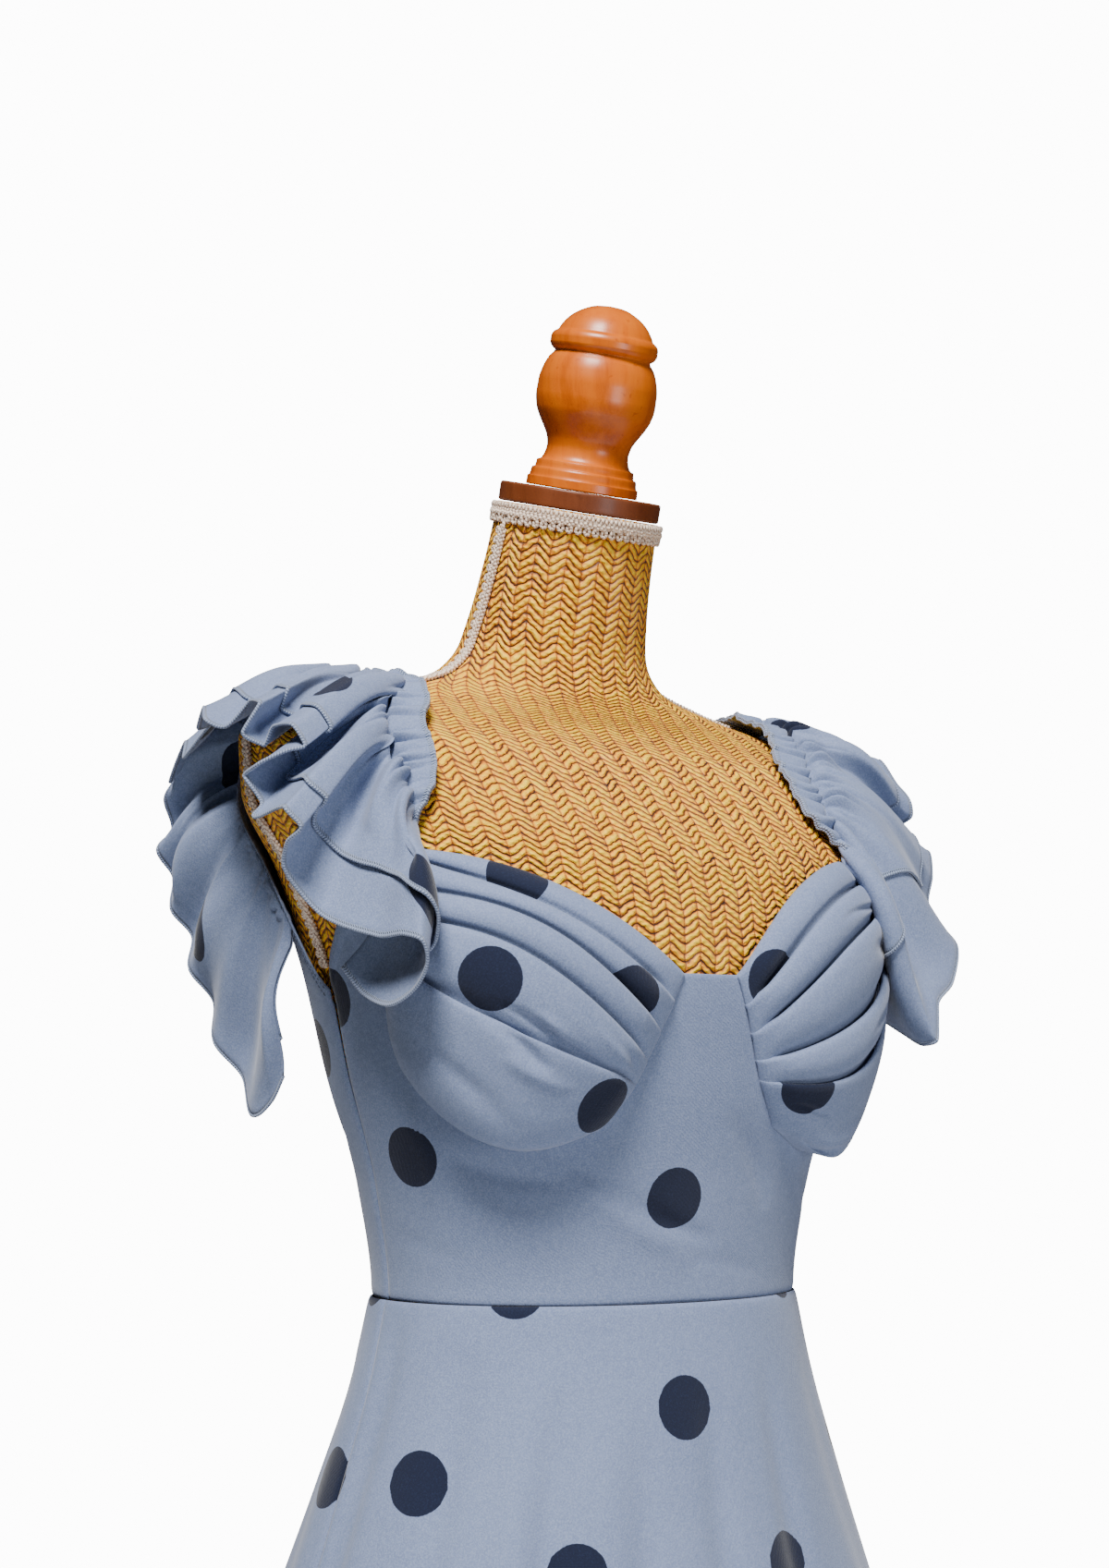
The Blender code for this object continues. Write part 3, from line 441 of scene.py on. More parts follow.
class Finish:
    """A material whose Principled shader is fed by the nodes that it makes."""

    def __init__(self, name, roughness, **constants):
        self.material = bpy.data.materials.new(name)
        self.material.use_nodes = True
        self.tree = self.material.node_tree
        self.shader = self.tree.nodes["Principled BSDF"]
        self.shader.inputs["Roughness"].default_value = roughness
        for socket, value in constants.items():
            self.shader.inputs[socket.replace("_", " ")].default_value = value

    def node(self, kind, settings=None, inputs=None, output=0):
        """A node: its settings first, then the values or links of its sockets. Gives one output."""
        made = self.tree.nodes.new(kind)
        for name, value in (settings or {}).items():
            if name == "stops":
                ramp = made.color_ramp
                while len(ramp.elements) < len(value):
                    ramp.elements.new(0.5)
                for element, (place, colour) in zip(ramp.elements, value):
                    element.position = place
                    element.color = (*colour, 1.0)
            else:
                setattr(made, name, value)
        for name, value in (inputs or {}).items():
            connect(self.tree, made.inputs[name], value)
        return Value(self.tree, made.outputs[output])

    def noise(self, scale, detail=2.0, place=None, roughness=0.5):
        """Smooth noise from 0 to 1; its grains are about one over scale metres."""
        vector = place or self.place()
        inputs = {"Scale": scale, "Detail": detail, "Roughness": roughness, "Vector": vector}
        return self.node("ShaderNodeTexNoise", inputs=inputs)

    def place(self):
        return self.node("ShaderNodeTexCoord", output="Object")

    def flat(self):
        """The two UV numbers, in metres on the cloth."""
        split = self.node("ShaderNodeUVMap", {"uv_map": "cloth"})
        return [self.node("ShaderNodeSeparateXYZ", inputs={0: split}, output=k) for k in (0, 1)]

    def field(self, name):
        return self.node("ShaderNodeAttribute", {"attribute_name": name}, output="Fac")

    def step(self, value, low, high):
        """0 at low, 1 at high, and an S between them."""
        names = {"Value": value, "From Min": low, "From Max": high}
        return self.node("ShaderNodeMapRange", {"interpolation_type": "SMOOTHSTEP"}, names)

    def blend(self, factor, first, second):
        """Two colours mixed."""
        first, second = ((*c, 1.0) if isinstance(c, tuple) else c for c in (first, second))
        inputs = {0: factor, 6: first, 7: second}
        return self.node("ShaderNodeMix", {"data_type": "RGBA"}, inputs, output=2)

    def ramp(self, value, *stops):
        return self.node("ShaderNodeValToRGB", {"stops": stops}, {"Fac": value})

    def vector(self, x, y, z=0.0):
        return self.node("ShaderNodeCombineXYZ", inputs={0: x, 1: y, 2: z})

    def done(self, colour, height=None, depth=0.001, roughness=None):
        """Feeds the shader: colour, bumps of a depth in metres, and a roughness that varies."""
        connect(self.tree, self.shader.inputs["Base Color"], colour)
        if roughness is not None:
            connect(self.tree, self.shader.inputs["Roughness"], roughness)
        if height is not None:
            inputs = {"Height": height, "Distance": depth, "Strength": 1.0}
            bump = self.node("ShaderNodeBump", inputs=inputs)
            connect(self.tree, self.shader.inputs["Normal"], bump)
        return self.material


def shade(red, green, blue):
    """A colour as a painter reads it, 0 to 255, turned into the light that a shader works with."""
    part = np.array([red, green, blue]) / 255
    return tuple(float(v) for v in np.where(part <= 0.04045, part / 12.92, ((part + 0.055) / 1.055) ** 2.4))


# %% [markdown]
# ## Crepe with navy dots
#
# The cloth is a matt stretch crepe: a fine pebbled face, a soft bloom at glancing angles and almost
# no gloss. The dots are printed on the flat cloth before it is cut, so each piece carries a field
# with the distance to its nearest dot's centre, measured on the cloth. A step on that field gives a
# crisp round dot however the cloth is folded. Overlocked edges carry a field of their own.

# %% Crepe
DOT_RADIUS = 0.0163
DOT_EDGE = 0.0002        # half of the strip in which a dot's colour fades out
SERGE_WIDTH = 0.0024
NAVY = shade(13, 21, 44)


def crepe_finish():
    """Blue crepe: pebble grain with painted highlights, faint slubs, dots, and lighter thread over serged
    edges.
    """
    cloth = Finish("blue_dotted_crepe", 0.88, Sheen_Weight=0.22, Sheen_Roughness=0.45)
    cloth.shader.inputs["Specular IOR Level"].default_value = 0.25
    pebble = cloth.noise(1150.0, 2.0, roughness=0.6)
    slub = cloth.noise(260.0, 3.0)
    wash = cloth.noise(14.0, 3.0)
    along = cloth.flat()[0]
    twist = (along * 2400.0 + pebble * 5.0).math("SINE")
    edge_wobble = (cloth.noise(700.0) - 0.5) * 0.0005
    to_centre = cloth.field("dot_distance") + edge_wobble
    dot = 1.0 - cloth.step(to_centre, DOT_RADIUS - DOT_EDGE, DOT_RADIUS + DOT_EDGE)
    dark, light = shade(103, 117, 150), shade(113, 127, 160)
    ground = cloth.blend(cloth.step(wash * 0.5 + slub * 0.5, 0.3, 0.7), dark, light)
    # Lighter where the pebble grain rises, on the ground and the dots: a painted highlight on raised grains.
    ground = cloth.blend(cloth.step(pebble, 0.35, 0.75) * 0.45, ground, shade(150, 162, 188))
    navy = cloth.blend(cloth.step(pebble, 0.45, 0.8) * 0.35, NAVY, shade(34, 46, 78))
    printed = cloth.blend(dot, ground, navy)
    edge = cloth.field("edge_distance")
    serge = 1.0 - cloth.step(edge, SERGE_WIDTH - 0.0004, SERGE_WIDTH)
    # Between its wraps the serge thread is darker: painted shade in its grooves over the lighter thread.
    loop = (along / 0.0015 + edge / 0.0050).math("PINGPONG", 0.5) * 2.0
    thread = cloth.blend(cloth.step(loop, 0.1, 0.6), shade(70, 84, 114), shade(142, 154, 178))
    colour = cloth.blend(serge, printed, thread)
    height = pebble * 0.55 + slub * 0.25 + twist * 0.05 + serge * loop * 1.2
    return cloth.done(colour, height, 0.00035)


CREPE = crepe_finish()

# %% [markdown]
# ## Woven straw
#
# The form is covered in a herringbone of straw braid: neighbouring ribs slant up to the left and up
# to the right. Each stitch is a plump strand with fine fibres, with a painted highlight on its back and
# painted shade, dark brown, where it dives under the next. The UVs are metres along the skin, so a rib
# keeps its width everywhere.

# %% Straw
RIB, STITCH = 0.0093, 0.0050     # width of a rib, and height of a stitch


def straw_finish():
    """Zigzag rows: a stitch's height is up minus a triangle wave across, with painted shade where rows meet.
    """
    straw = Finish("woven_straw", 0.6, Sheen_Weight=0.05)
    across, up = straw.flat()
    wander = straw.noise(55.0, 2.0)
    uneven = straw.noise(150.0, 2.0)
    across = across + (wander - 0.5) * 0.0040
    wave = (across / RIB).math("PINGPONG", 1.0)
    rib = (across / RIB).math("FLOOR")
    level = up / STITCH - (wave * wave * (3.0 - wave * 2.0) + wave) * 0.62 + (uneven - 0.5) * 0.9
    strand = level.math("FLOOR")
    part = level.math("FRACT")
    plump = (part * (1.0 - part) * 4.0).math("POWER", 0.9)
    joint = (wave * 2.0 - 1.0).math("ABSOLUTE")
    tuck = 1.0 - joint ** 5.0 * 0.60
    own = straw.node("ShaderNodeTexWhiteNoise", {"noise_dimensions": "2D"},
                     {"Vector": straw.vector(strand, rib)})
    twist = ((wave * 2.4 + part * 1.3 + own * 3.0) * 6.2832).math("SINE") * 0.5 + 0.5
    fibre = straw.noise(1.0, 3.0, straw.vector(wave * 1.6 + rib * 5.0, level * 7.0, own * 9.0), 0.6)
    height = plump * tuck * (0.80 + twist * 0.20) + (fibre - 0.5) * 0.35
    # Colour from height: a painted highlight on each strand's back and painted shade in the gaps, plus
    # fibres.
    tone_with_painted_light = height * 0.80 + fibre * 0.20 + own * 0.22 - 0.12
    colour = straw.ramp(tone_with_painted_light, (0.14, shade(46, 18, 0)), (0.32, shade(160, 80, 0)),
                        (0.47, shade(255, 158, 0)), (0.86, shade(255, 210, 6)))
    colour = straw.blend(straw.step(wander, 0.3, 0.8) * 0.20, colour, shade(226, 128, 2))
    return straw.done(colour, height, 0.0028, 0.70 - fibre * 0.25)


STRAW = straw_finish()

# %% [markdown]
# ## Threads, braid and wood
#
# Thread shows its twist as slanting lines round the strand, with painted shade in its grooves; its own
# UVs give them: metres along and turns around. The turned wood has long grain under varnish, and the
# neck plate is dark and satin.

# %% Thread and wood finishes
def thread_finish(name, colour, painted_groove_shade, twist=0.0018):
    """Twisted yarn: a wave along the strand plus its turn, with painted shade in the grooves."""
    yarn = Finish(name, 0.75, Sheen_Weight=0.3)
    along, around = yarn.flat()
    ply = (along / twist + around).math("PINGPONG", 0.5) * 2.0
    fuzz = yarn.noise(1500.0, 2.0)
    tone_with_painted_light = yarn.blend(yarn.step(ply * 0.8 + fuzz * 0.3, 0.1, 0.7), painted_groove_shade, colour)
    return yarn.done(tone_with_painted_light, ply + fuzz * 0.4, 0.00022)


def wood_finish(name, pale, mid, deep, rough, coat):
    """Turned wood: grain stretched along the spindle, with darker pores, under a thin varnish."""
    wood = Finish(name, rough, Coat_Weight=coat, Coat_Roughness=0.22, Specular_IOR_Level=0.3)
    turned = wood.node("ShaderNodeMapping", inputs={"Vector": wood.place(), "Scale": (1.0, 1.0, 0.12)})
    figure = wood.noise(75.0, 4.0, turned, 0.6)
    pore = wood.noise(900.0, 2.0, turned, 0.7)
    colour = wood.ramp(figure * 0.85 + pore * 0.15, (0.22, deep), (0.50, mid), (0.78, pale))
    fleck = wood.step(wood.noise(230.0, 2.0), 0.66, 0.74)
    colour = wood.blend(wood.step(pore, 0.62, 0.72) * 0.20 + fleck * 0.45, colour, deep)
    gloss = wood.step(figure, 0.2, 0.8) * 0.12 + (rough - 0.06)
    return wood.done(colour, pore * 0.4 + figure * 0.2, 0.0001, gloss)


# Each thread's second colour is painted shade for the grooves between its plies.
CREAM = thread_finish("cream_gimp", shade(238, 219, 200), shade(160, 122, 92))
SERGE = thread_finish("overlock_thread", shade(134, 147, 174), shade(62, 76, 106), 0.0015)
TOPSTITCH = thread_finish("topstitch_thread", shade(96, 110, 142), shade(64, 78, 108))
WOOD = wood_finish("varnished_turned_wood", shade(208, 108, 2), shade(194, 92, 0), shade(154, 62, 0),
                   rough=0.34, coat=0.16)
DARK_WOOD = wood_finish("dark_satin_wood", shade(118, 60, 26), shade(104, 50, 20), shade(82, 36, 12),
                        rough=0.5, coat=0.1)

# %% [markdown]
# ## The dress form
#
# The form is a stack of squared ovals, each leaning a little more toward the neck. Angles run round it
# from the centre front to the wearer's left, and a point of the dress is a rise, an angle and a
# distance straight out of the skin. The same three numbers place the cloth, the braid and the seams.

# %% The form's skin
FORM_COLUMNS = ("rise", "forward", "half_width", "front", "back", "tilt", "squareness")
FORM = (
    (-0.250, 0.000, 0.146, 0.098, 0.108, 0, 2.2),
    (-0.200, 0.000, 0.158, 0.108, 0.120, 0, 2.2),
    (-0.100, 0.000, 0.145, 0.104, 0.108, 0, 2.2),
    (0.000, 0.000, 0.1205, 0.096, 0.082, 0, 2.1),
    (0.060, 0.000, 0.129, 0.104, 0.090, 0, 2.1),
    (0.120, 0.000, 0.146, 0.118, 0.104, 0, 2.2),
    (0.180, 0.000, 0.160, 0.128, 0.112, 0, 2.3),
    (0.230, -0.002, 0.178, 0.120, 0.118, 2, 2.4),
    (0.270, -0.010, 0.196, 0.100, 0.115, 4, 2.5),
    (0.300, -0.018, 0.197, 0.080, 0.103, 6, 2.5),
    (0.320, -0.025, 0.162, 0.066, 0.085, 9, 2.3),
    (0.337, -0.030, 0.101, 0.060, 0.068, 12, 2.1),
    (0.349, -0.031, 0.070, 0.056, 0.060, 14, 2.0),
    (0.366, -0.030, 0.0565, 0.053, 0.055, 15, 2.0),
    (0.390, -0.023, 0.0520, 0.050, 0.051, 16, 2.0),
    (0.420, -0.013, 0.0490, 0.048, 0.048, 17, 2.0),
    (0.446, -0.004, 0.0475, 0.047, 0.047, 17, 2.0),
)


RISE_STEP = 0.003        # half of the step that a direction up the skin is taken over
SKIN_END = 0.004         # and no nearer than this to the skin's ends


def oval(angle, half_width, front, back, squareness):
    """x and y of a squared oval: sine and cosine to a power, times a half width or a depth."""
    turn = np.radians(angle)
    power = 2.0 / squareness
    across, along = np.sin(turn), np.cos(turn)
    x = half_width * np.sign(across) * np.abs(across) ** power
    y = -np.where(along >= 0, front, back) * np.sign(along) * np.abs(along) ** power
    return x, y


def form_skin(rise, angle):
    """The skin's point: the oval at that rise, tipped forward by its own tilt."""
    rise, angle = np.broadcast_arrays(np.asarray(rise, float), np.asarray(angle, float))
    rises = column(FORM, FORM_COLUMNS, "rise")
    forward, half_width, front, back, tilt, squareness = (
        curve_through(rises, column(FORM, FORM_COLUMNS, name), rise) for name in FORM_COLUMNS[1:]
    )
    x, along = oval(angle, half_width, front, back, squareness)
    lean = np.radians(tilt)
    return np.stack([x, along * np.cos(lean) - forward, WAIST + rise + along * np.sin(lean)], axis=-1)


def skin_directions(rise, angle):
    """How the point moves per degree round and per metre up, and their cross product: outward."""
    rise = np.clip(rise, FORM[0][0] + SKIN_END, FORM[-1][0] - SKIN_END)
    around = (form_skin(rise, angle + 1.0) - form_skin(rise, angle - 1.0)) / 2
    upwards = (form_skin(rise + RISE_STEP, angle) - form_skin(rise - RISE_STEP, angle)) / (2 * RISE_STEP)
    return around, upwards, unit(np.cross(around, upwards))


def on_form(rise, angle, out=0.0):
    """The skin's point plus a distance along the outward direction."""
    rise, angle, out = np.broadcast_arrays(np.asarray(rise, float), np.asarray(angle, float), out)
    return form_skin(rise, angle) + skin_directions(rise, angle)[2] * out[..., None]


def ring_piece(name, grid, finish):
    """A closed skin of rings, seamed at the back, with metres along the skin as its UVs."""
    rows, columns = grid.shape[:2]
    closed = np.concatenate([grid, grid[:, :1]], axis=1)
    across = run_along(closed, 1)
    across = across - across[:, columns // 2:columns // 2 + 1]
    up = np.repeat(run_along(closed, 0).mean(axis=1, keepdims=True), columns + 1, axis=1)
    uv = corner_uv(np.stack([across, up], -1), rows, columns + 1)
    quads = grid_quads(rows, columns, wrap_columns=True)
    index = np.arange(rows * columns).reshape(rows, columns)
    ends = [index[0, ::-1].tolist(), index[-1].tolist()]
    return make_mesh(name, grid.reshape(-1, 3), quads, uv, finish, caps=ends)


def make_form():
    """The torso and neck under the dress, coarse where the dress covers it."""
    covered = np.linspace(FORM[0][0], 0.140, 24)
    bare = np.linspace(0.146, FORM[-1][0], 128)
    rise = np.concatenate([covered, bare])[:, None]
    angle = np.arange(-180, 180, 1.5)[None, :]
    settle(ring_piece("straw_form", on_form(rise, angle), STRAW), "woven_straw", "form_body")


make_form()

# %% [markdown]
# ## Braid on the form
#
# Upholsterer's gimp covers the seams of the straw: three strands plaited flat, with a cord that loops
# out of them along one edge. In a plait each strand swings across as a sine while it dips at twice
# that rate, and the three are a third of a turn apart. The looping cord is a circle that travels.

# %% Gimp
GIMP_STRAND = 0.00105    # radius of one strand
GIMP_OUT = 0.0004        # from the straw to the path that the braid follows
STRAND_RINGS, LOOP_RINGS = 10, 12     # rings of a tube on one turn of a plait and of a loop
# Metres across the braid: the plait's middle and half width, and where the loops start and end.
# Then metres along it: the length of one turn of the plait, and of one loop.
NECK_GIMP = (-0.0008, 0.0030, 0.0018, 0.0066, 0.0078, 0.0049)
SIDE_GIMP = (-0.0018, 0.0020, 0.0002, 0.0046, 0.0070, 0.0056)
NECK_GIMP_RISE, NECK_GIMP_FACING = 0.4413, 0.4340     # where it lies, and whose normals it takes
SIDE_GIMP_ROUTE = ((0.17, 91.5), (0.25, 95.0), (0.31, 93.0), (0.345, 90.0), (0.45, 88.0))   # rise, angle


def gimp_parts(path, normals, closed, sizes, sign=1):
    """Three plaited strands and one looping cord, by their distance across and over the path."""
    plait_middle, plait_half, loop_from, loop_to, plait_length, loop_length = sizes
    whole = np.concatenate([path, path[:1]]) if closed else path
    lifts = np.concatenate([normals, normals[:1]]) if closed else normals
    run = walk(whole)
    parts = []

    def strand(per_turn, length, motion):
        turns = round(run[-1] / length)
        at = np.linspace(0, run[-1], turns * per_turn, endpoint=not closed)
        phase = at / run[-1] * turns * 2 * np.pi
        ahead, across, over = motion(phase, run[-1] / turns)
        at = (at + ahead) % run[-1] if closed else np.clip(at + ahead, 0, run[-1])
        centre, lift = (
            np.stack([np.interp(at, run, values) for values in rows.T], -1) for rows in (whole, lifts)
        )
        later = np.stack([np.interp((at + 0.001) % run[-1], run, values) for values in whole.T], -1)
        step = np.where(np.linalg.norm(later - centre, axis=1, keepdims=True) < 0.01, later - centre, 0)
        forward = unit(step + 1e-9)
        lift = unit(lift)
        side = unit(np.cross(forward, lift))
        line = centre + side * across[:, None] + lift * over[:, None]
        parts.append(tube_parts(line, GIMP_STRAND, lift, closed))

    for third in range(3):
        strand(STRAND_RINGS, plait_length, lambda phase, length: (
            np.zeros_like(phase),
            sign * plait_middle + plait_half * np.sin(phase + third * 2 * np.pi / 3),
            0.0013 + 0.0008 * np.sin(2 * phase + third * 4 * np.pi / 3)))
    strand(LOOP_RINGS, loop_length, lambda phase, length: (
        0.50 * length * np.sin(phase),
        sign * (loop_from + (loop_to - loop_from) * (0.5 - 0.5 * np.cos(phase))),
        0.0011 + 0.0005 * np.cos(phase * 0.5)))
    return parts


def make_gimp():
    """Gimp round the top of the neck and down each side of the form."""
    angle = np.arange(-180, 180, 3.0)
    path = on_form(NECK_GIMP_RISE, angle, GIMP_OUT)
    normals = skin_directions(np.full_like(angle, NECK_GIMP_FACING), angle)[2]
    parts = gimp_parts(path, normals, True, NECK_GIMP)
    thread_piece("neck_gimp", parts, CREAM, "cream_braid", "form_neck_braid")
    stretches = ((0.176, 0.30, 40), (0.303, 0.37, 60), (0.373, 0.4325, 24))
    rise = np.concatenate([np.linspace(*stretch) for stretch in stretches])
    for side, sign in (("right", -1), ("left", 1)):
        angle = sign * curve_through(*zip(*SIDE_GIMP_ROUTE), rise)
        path, normals = on_form(rise, angle, GIMP_OUT), skin_directions(rise, angle)[2]
        parts = gimp_parts(path, normals, False, SIDE_GIMP, sign)
        thread_piece(f"side_gimp_{side}", parts, CREAM, "cream_braid", f"form_side_braid_{side}")


make_gimp()

# %% [markdown]
# ## Turned wood
#
# The neck plate, the finial, the post and the foot are all turned: a profile of heights and radii,
# spun round an axis. The cubic rounds every corner of the profile a little, as sandpaper does.

# %% Neck plate, finial, post and foot
FINIAL_PROFILE = (   # height over the neck plate, radius, from the dome down
    (0.1079, 0.0000), (0.1070, 0.0082), (0.1036, 0.0164), (0.0988, 0.0227), (0.0931, 0.0268),
    (0.0907, 0.0280), (0.0893, 0.0301), (0.0864, 0.0315), (0.0831, 0.0315), (0.0804, 0.0301),
    (0.0788, 0.0280), (0.0745, 0.0309), (0.0688, 0.0333), (0.0611, 0.0349), (0.0535, 0.0351),
    (0.0458, 0.0338), (0.0392, 0.0307), (0.0334, 0.0272), (0.0286, 0.0249), (0.0239, 0.0241),
    (0.0191, 0.0249), (0.0158, 0.0268), (0.0153, 0.0284), (0.0110, 0.0293), (0.0105, 0.0307),
    (0.0057, 0.0317), (0.0053, 0.0326), (0.0000, 0.0328), (0.0000, 0.0000),
)
PLATE_PROFILE = (    # height, radius
    (0.0115, 0.0000), (0.0115, 0.0450), (0.0113, 0.0466), (0.0105, 0.0473), (0.0095, 0.0474),
    (0.0020, 0.0474), (0.0010, 0.0473), (0.0003, 0.0467), (0.0000, 0.0455), (0.0000, 0.0000),
)
FOOT_PROFILE = (     # height, radius of the round foot, from its collar down
    (0.0620, 0.0000), (0.0620, 0.0230), (0.0590, 0.0260), (0.0460, 0.0270), (0.0400, 0.0330),
    (0.0330, 0.0700), (0.0280, 0.1300), (0.0230, 0.1620), (0.0150, 0.1690), (0.0040, 0.1700),
    (0.0000, 0.1670), (0.0000, 0.0000),
)
POST_RADIUS = 0.016
POLE_RADIUS = 0.0002     # of the smallest ring, where a profile meets its axis
NECK_TILT = 17.0


def turned_piece(name, profile, place, finish, slot, node, steps, samples):
    """A profile spun on Z: each ring is the radius times sine and cosine, from the bottom up.

    It has rings at the profile's own corners, and as many more, evenly spaced, as samples says.
    """
    height, radius = np.array(profile[::-1], float).T
    run = np.concatenate([[0], np.cumsum(np.hypot(np.diff(height), np.diff(radius)))])
    corner = np.unique(run.round(6), return_index=True)[1]
    at = np.unique(np.concatenate([np.linspace(0, run[-1], samples), run[corner]]))
    height = curve_through(run[corner], height[corner], at)
    radius = np.maximum(curve_through(run[corner], radius[corner], at), POLE_RADIUS)
    turn = np.arange(steps) * 2 * np.pi / steps - np.pi
    x, y = radius[:, None] * np.sin(turn), -radius[:, None] * np.cos(turn)
    grid = np.stack(np.broadcast_arrays(x, y, height[:, None]), -1)
    grid = grid @ np.array(place.to_3x3()).T + np.array(place.translation)
    settle(ring_piece(name, grid, finish), slot, node)


def make_turned():
    """The neck's wood leans with the neck, and the stand's stays upright."""
    neck_top, form_bottom = FORM[-1][0], WAIST + FORM[0][0] - SEAM
    plate_top, foot_top = PLATE_PROFILE[0][0], FOOT_PROFILE[0][0] + SEAM
    top = Vector(on_form(neck_top, np.array([0.0, 180.0])).mean(axis=0))
    lean = Matrix.Rotation(math.radians(NECK_TILT), 4, "X")
    axis = lean @ Vector((0, 0, 1))
    plate_place = Matrix.Translation(top + axis * SEAM) @ lean
    finial_place = Matrix.Translation(top + axis * (2 * SEAM + plate_top)) @ lean
    upright = Matrix.Identity(4)
    post = ((form_bottom, 0.0), (form_bottom, POST_RADIUS), (foot_top, POST_RADIUS), (foot_top, 0.0))
    varnished = (WOOD, "varnished_wood")
    turned_piece("neck_plate", PLATE_PROFILE, plate_place, DARK_WOOD, "dark_wood", "form_neck_plate",
                 steps=128, samples=60)
    turned_piece("finial", FINIAL_PROFILE, finial_place, *varnished, "form_finial", steps=96, samples=100)
    turned_piece("post", post, upright, *varnished, "stand_post", steps=64, samples=0)
    turned_piece("foot", FOOT_PROFILE, upright, *varnished, "stand_foot", steps=128, samples=60)


make_turned()

# %% [markdown]
# ## Dots and creases
#
# Before the dress, the helpers that its panels share. Some measure the distance to the nearest printed
# dot. The last one presses soft creases into a panel: each is a line between two places, deepest at its
# middle, with a bell across it. They are listed one by one, as uneven as the pull of the seams makes them.

# %% Dots and creases
FAR = 1.0        # a field's value where there is no dot or edge


def straight_dots(points, centres):
    """Distance from each point to the nearest centre, straight through the air: fit for smooth panels."""
    nearest = np.full(points.shape[:-1], FAR)
    for centre in centres:
        nearest = np.minimum(nearest, np.linalg.norm(points - centre, axis=-1))
    return nearest


def walked_dots(face, centres):
    """Distance to the nearest centre, walked along the cloth's rows and columns: fit for deep folds."""
    along, down = run_along(face, 1), run_along(face, 0)
    nearest = np.full(face.shape[:-1], FAR)
    for row, place in centres:
        nearest = np.minimum(nearest, np.hypot(along - along[:, place:place + 1], down - down[row:row + 1]))
    return nearest


def dotted(face, centres):
    """The fields of a panel that has dots and no overlocked edge."""
    return {"dot_distance": straight_dots(face, centres), "edge_distance": np.full(face.shape[:2], FAR)}


def creased(across, up, lines):
    """How far each point moves out: a depth times a bell across each line and a sine along it."""
    total = np.zeros(np.broadcast_shapes(np.shape(across), np.shape(up)))
    for x0, y0, x1, y1, bow, depth, width in lines:
        step = np.array([x1 - x0, y1 - y0])
        length = np.hypot(*step)
        step = step / length
        along = ((across - x0) * step[0] + (up - y0) * step[1]) / length
        aside = (up - y0) * step[0] - (across - x0) * step[1]
        inside = np.sin(np.pi * np.clip(along, 0, 1))
        total += depth * np.exp(-(((aside - bow * inside) / width) ** 2)) * inside ** 0.8
    return total


# %% [markdown]
# ## The bodice
#
# The front panel runs from side seam to side seam, with a tongue between the cups. The back panel
# rises to the shoulder blades, and its armhole is bound with a narrow strip, stitched twice. At each
# seam the cloth rolls in, which is what makes a seam read as a fine dark line.

# %% Bodice front and back
EASE = 0.0022            # from the form to the inside of the bodice
CLOTH = 0.0015           # the thickness that the cloth and its seams need
WALL = 0.0011            # the visible sheet, inside that thickness
LAP = 0.0006             # how far a cup stands off the panel under it
CENTRE_FRONT = -1.5      # degrees: the tongue sits a little to the wearer's right
SEAM_ANGLE = 0.25        # degrees from a side seam to a panel of the bodice
DEGREE = 0.0022          # length of one degree round the waist
BINDING_WIDTH, BINDING_LIFT = 0.0075, 0.0007
BINDING_STEP = 0.0009    # width of the step from the binding down to the panel
BINDING_STITCHES = (0.0016, 0.0062)     # two rows, this far below the edge
BINDING_STITCH_OUT = 0.0018             # and this far out of the panel
BINDING_FROM = 68.5      # the front panel's top is bound from this many degrees off the centre
PANEL_UNDER = 1.4        # how far the panel reaches under a cup's inner seam, degrees
PANEL_OVER = 0.004       # and how far up behind the seam under the cup
CREASE_FADE = 0.012      # creases die out this far from a seam
INNER_SEAM = ((4.5, 0.170), (8.5, 0.144), (13.5, 0.116), (21.0, 0.092))   # angle, rise
OUTER_EDGE = {                                                           # angle, rise
    "right": ((52, 0.236), (60, 0.222), (66, 0.205), (69, 0.180), (69.5, 0.148), (67, 0.118)),
    "left": ((31, 0.240), (44, 0.222), (57, 0.196), (66, 0.168), (69, 0.142), (67, 0.118)),
}
ARMHOLE = {   # the front panel's top edge beside the cup: angle, rise
    "right": ((70.0, 0.207), (80.0, 0.200), (86.0, 0.183), (90.0, 0.164)),
    "left": ((70.0, 0.158), (80.0, 0.160), (86.0, 0.162), (90.0, 0.164)),
}
BACK_TOP = (             # angle, rise: from the side seam up to the strap and down to the centre back
    (90, 0.164), (95.5, 0.178), (101, 0.200), (107, 0.230), (116, 0.262), (123, 0.288),
    (128, 0.306), (135, 0.304), (142, 0.284), (156, 0.245), (169, 0.218), (180, 0.212),
)
PLEAT_COLUMNS = ("inner_share", "outer_share", "bow")
PLEATS = {         # from the neckline, over four folded edges, to the seam under the cup
    "right": (
        (0.00, 0.00, 0.016), (0.157, 0.055, 0.009), (0.345, 0.245, 0.020),
        (0.530, 0.375, 0.022), (0.680, 0.470, -0.001), (1.00, 1.00, -0.022),
    ),
    "left": (
        (0.00, 0.00, 0.016), (0.170, 0.150, 0.015), (0.345, 0.320, 0.014),
        (0.515, 0.480, -0.005), (0.650, 0.540, -0.022), (1.00, 1.00, -0.022),
    ),
}
FRONT_DOTS = ((-72, 0.077), (-4.5, 0.055), (-89.5, 0.160), (62, 0.092), (84, 0.022))     # angle, rise
BACK_DOTS = (
    (255.5, 0.134), (232, 0.050), (210, 0.140), (232, 0.235), (187, 0.058),
    (165, 0.145), (143, 0.240), (141, 0.060), (118, 0.150), (97, 0.055),
)
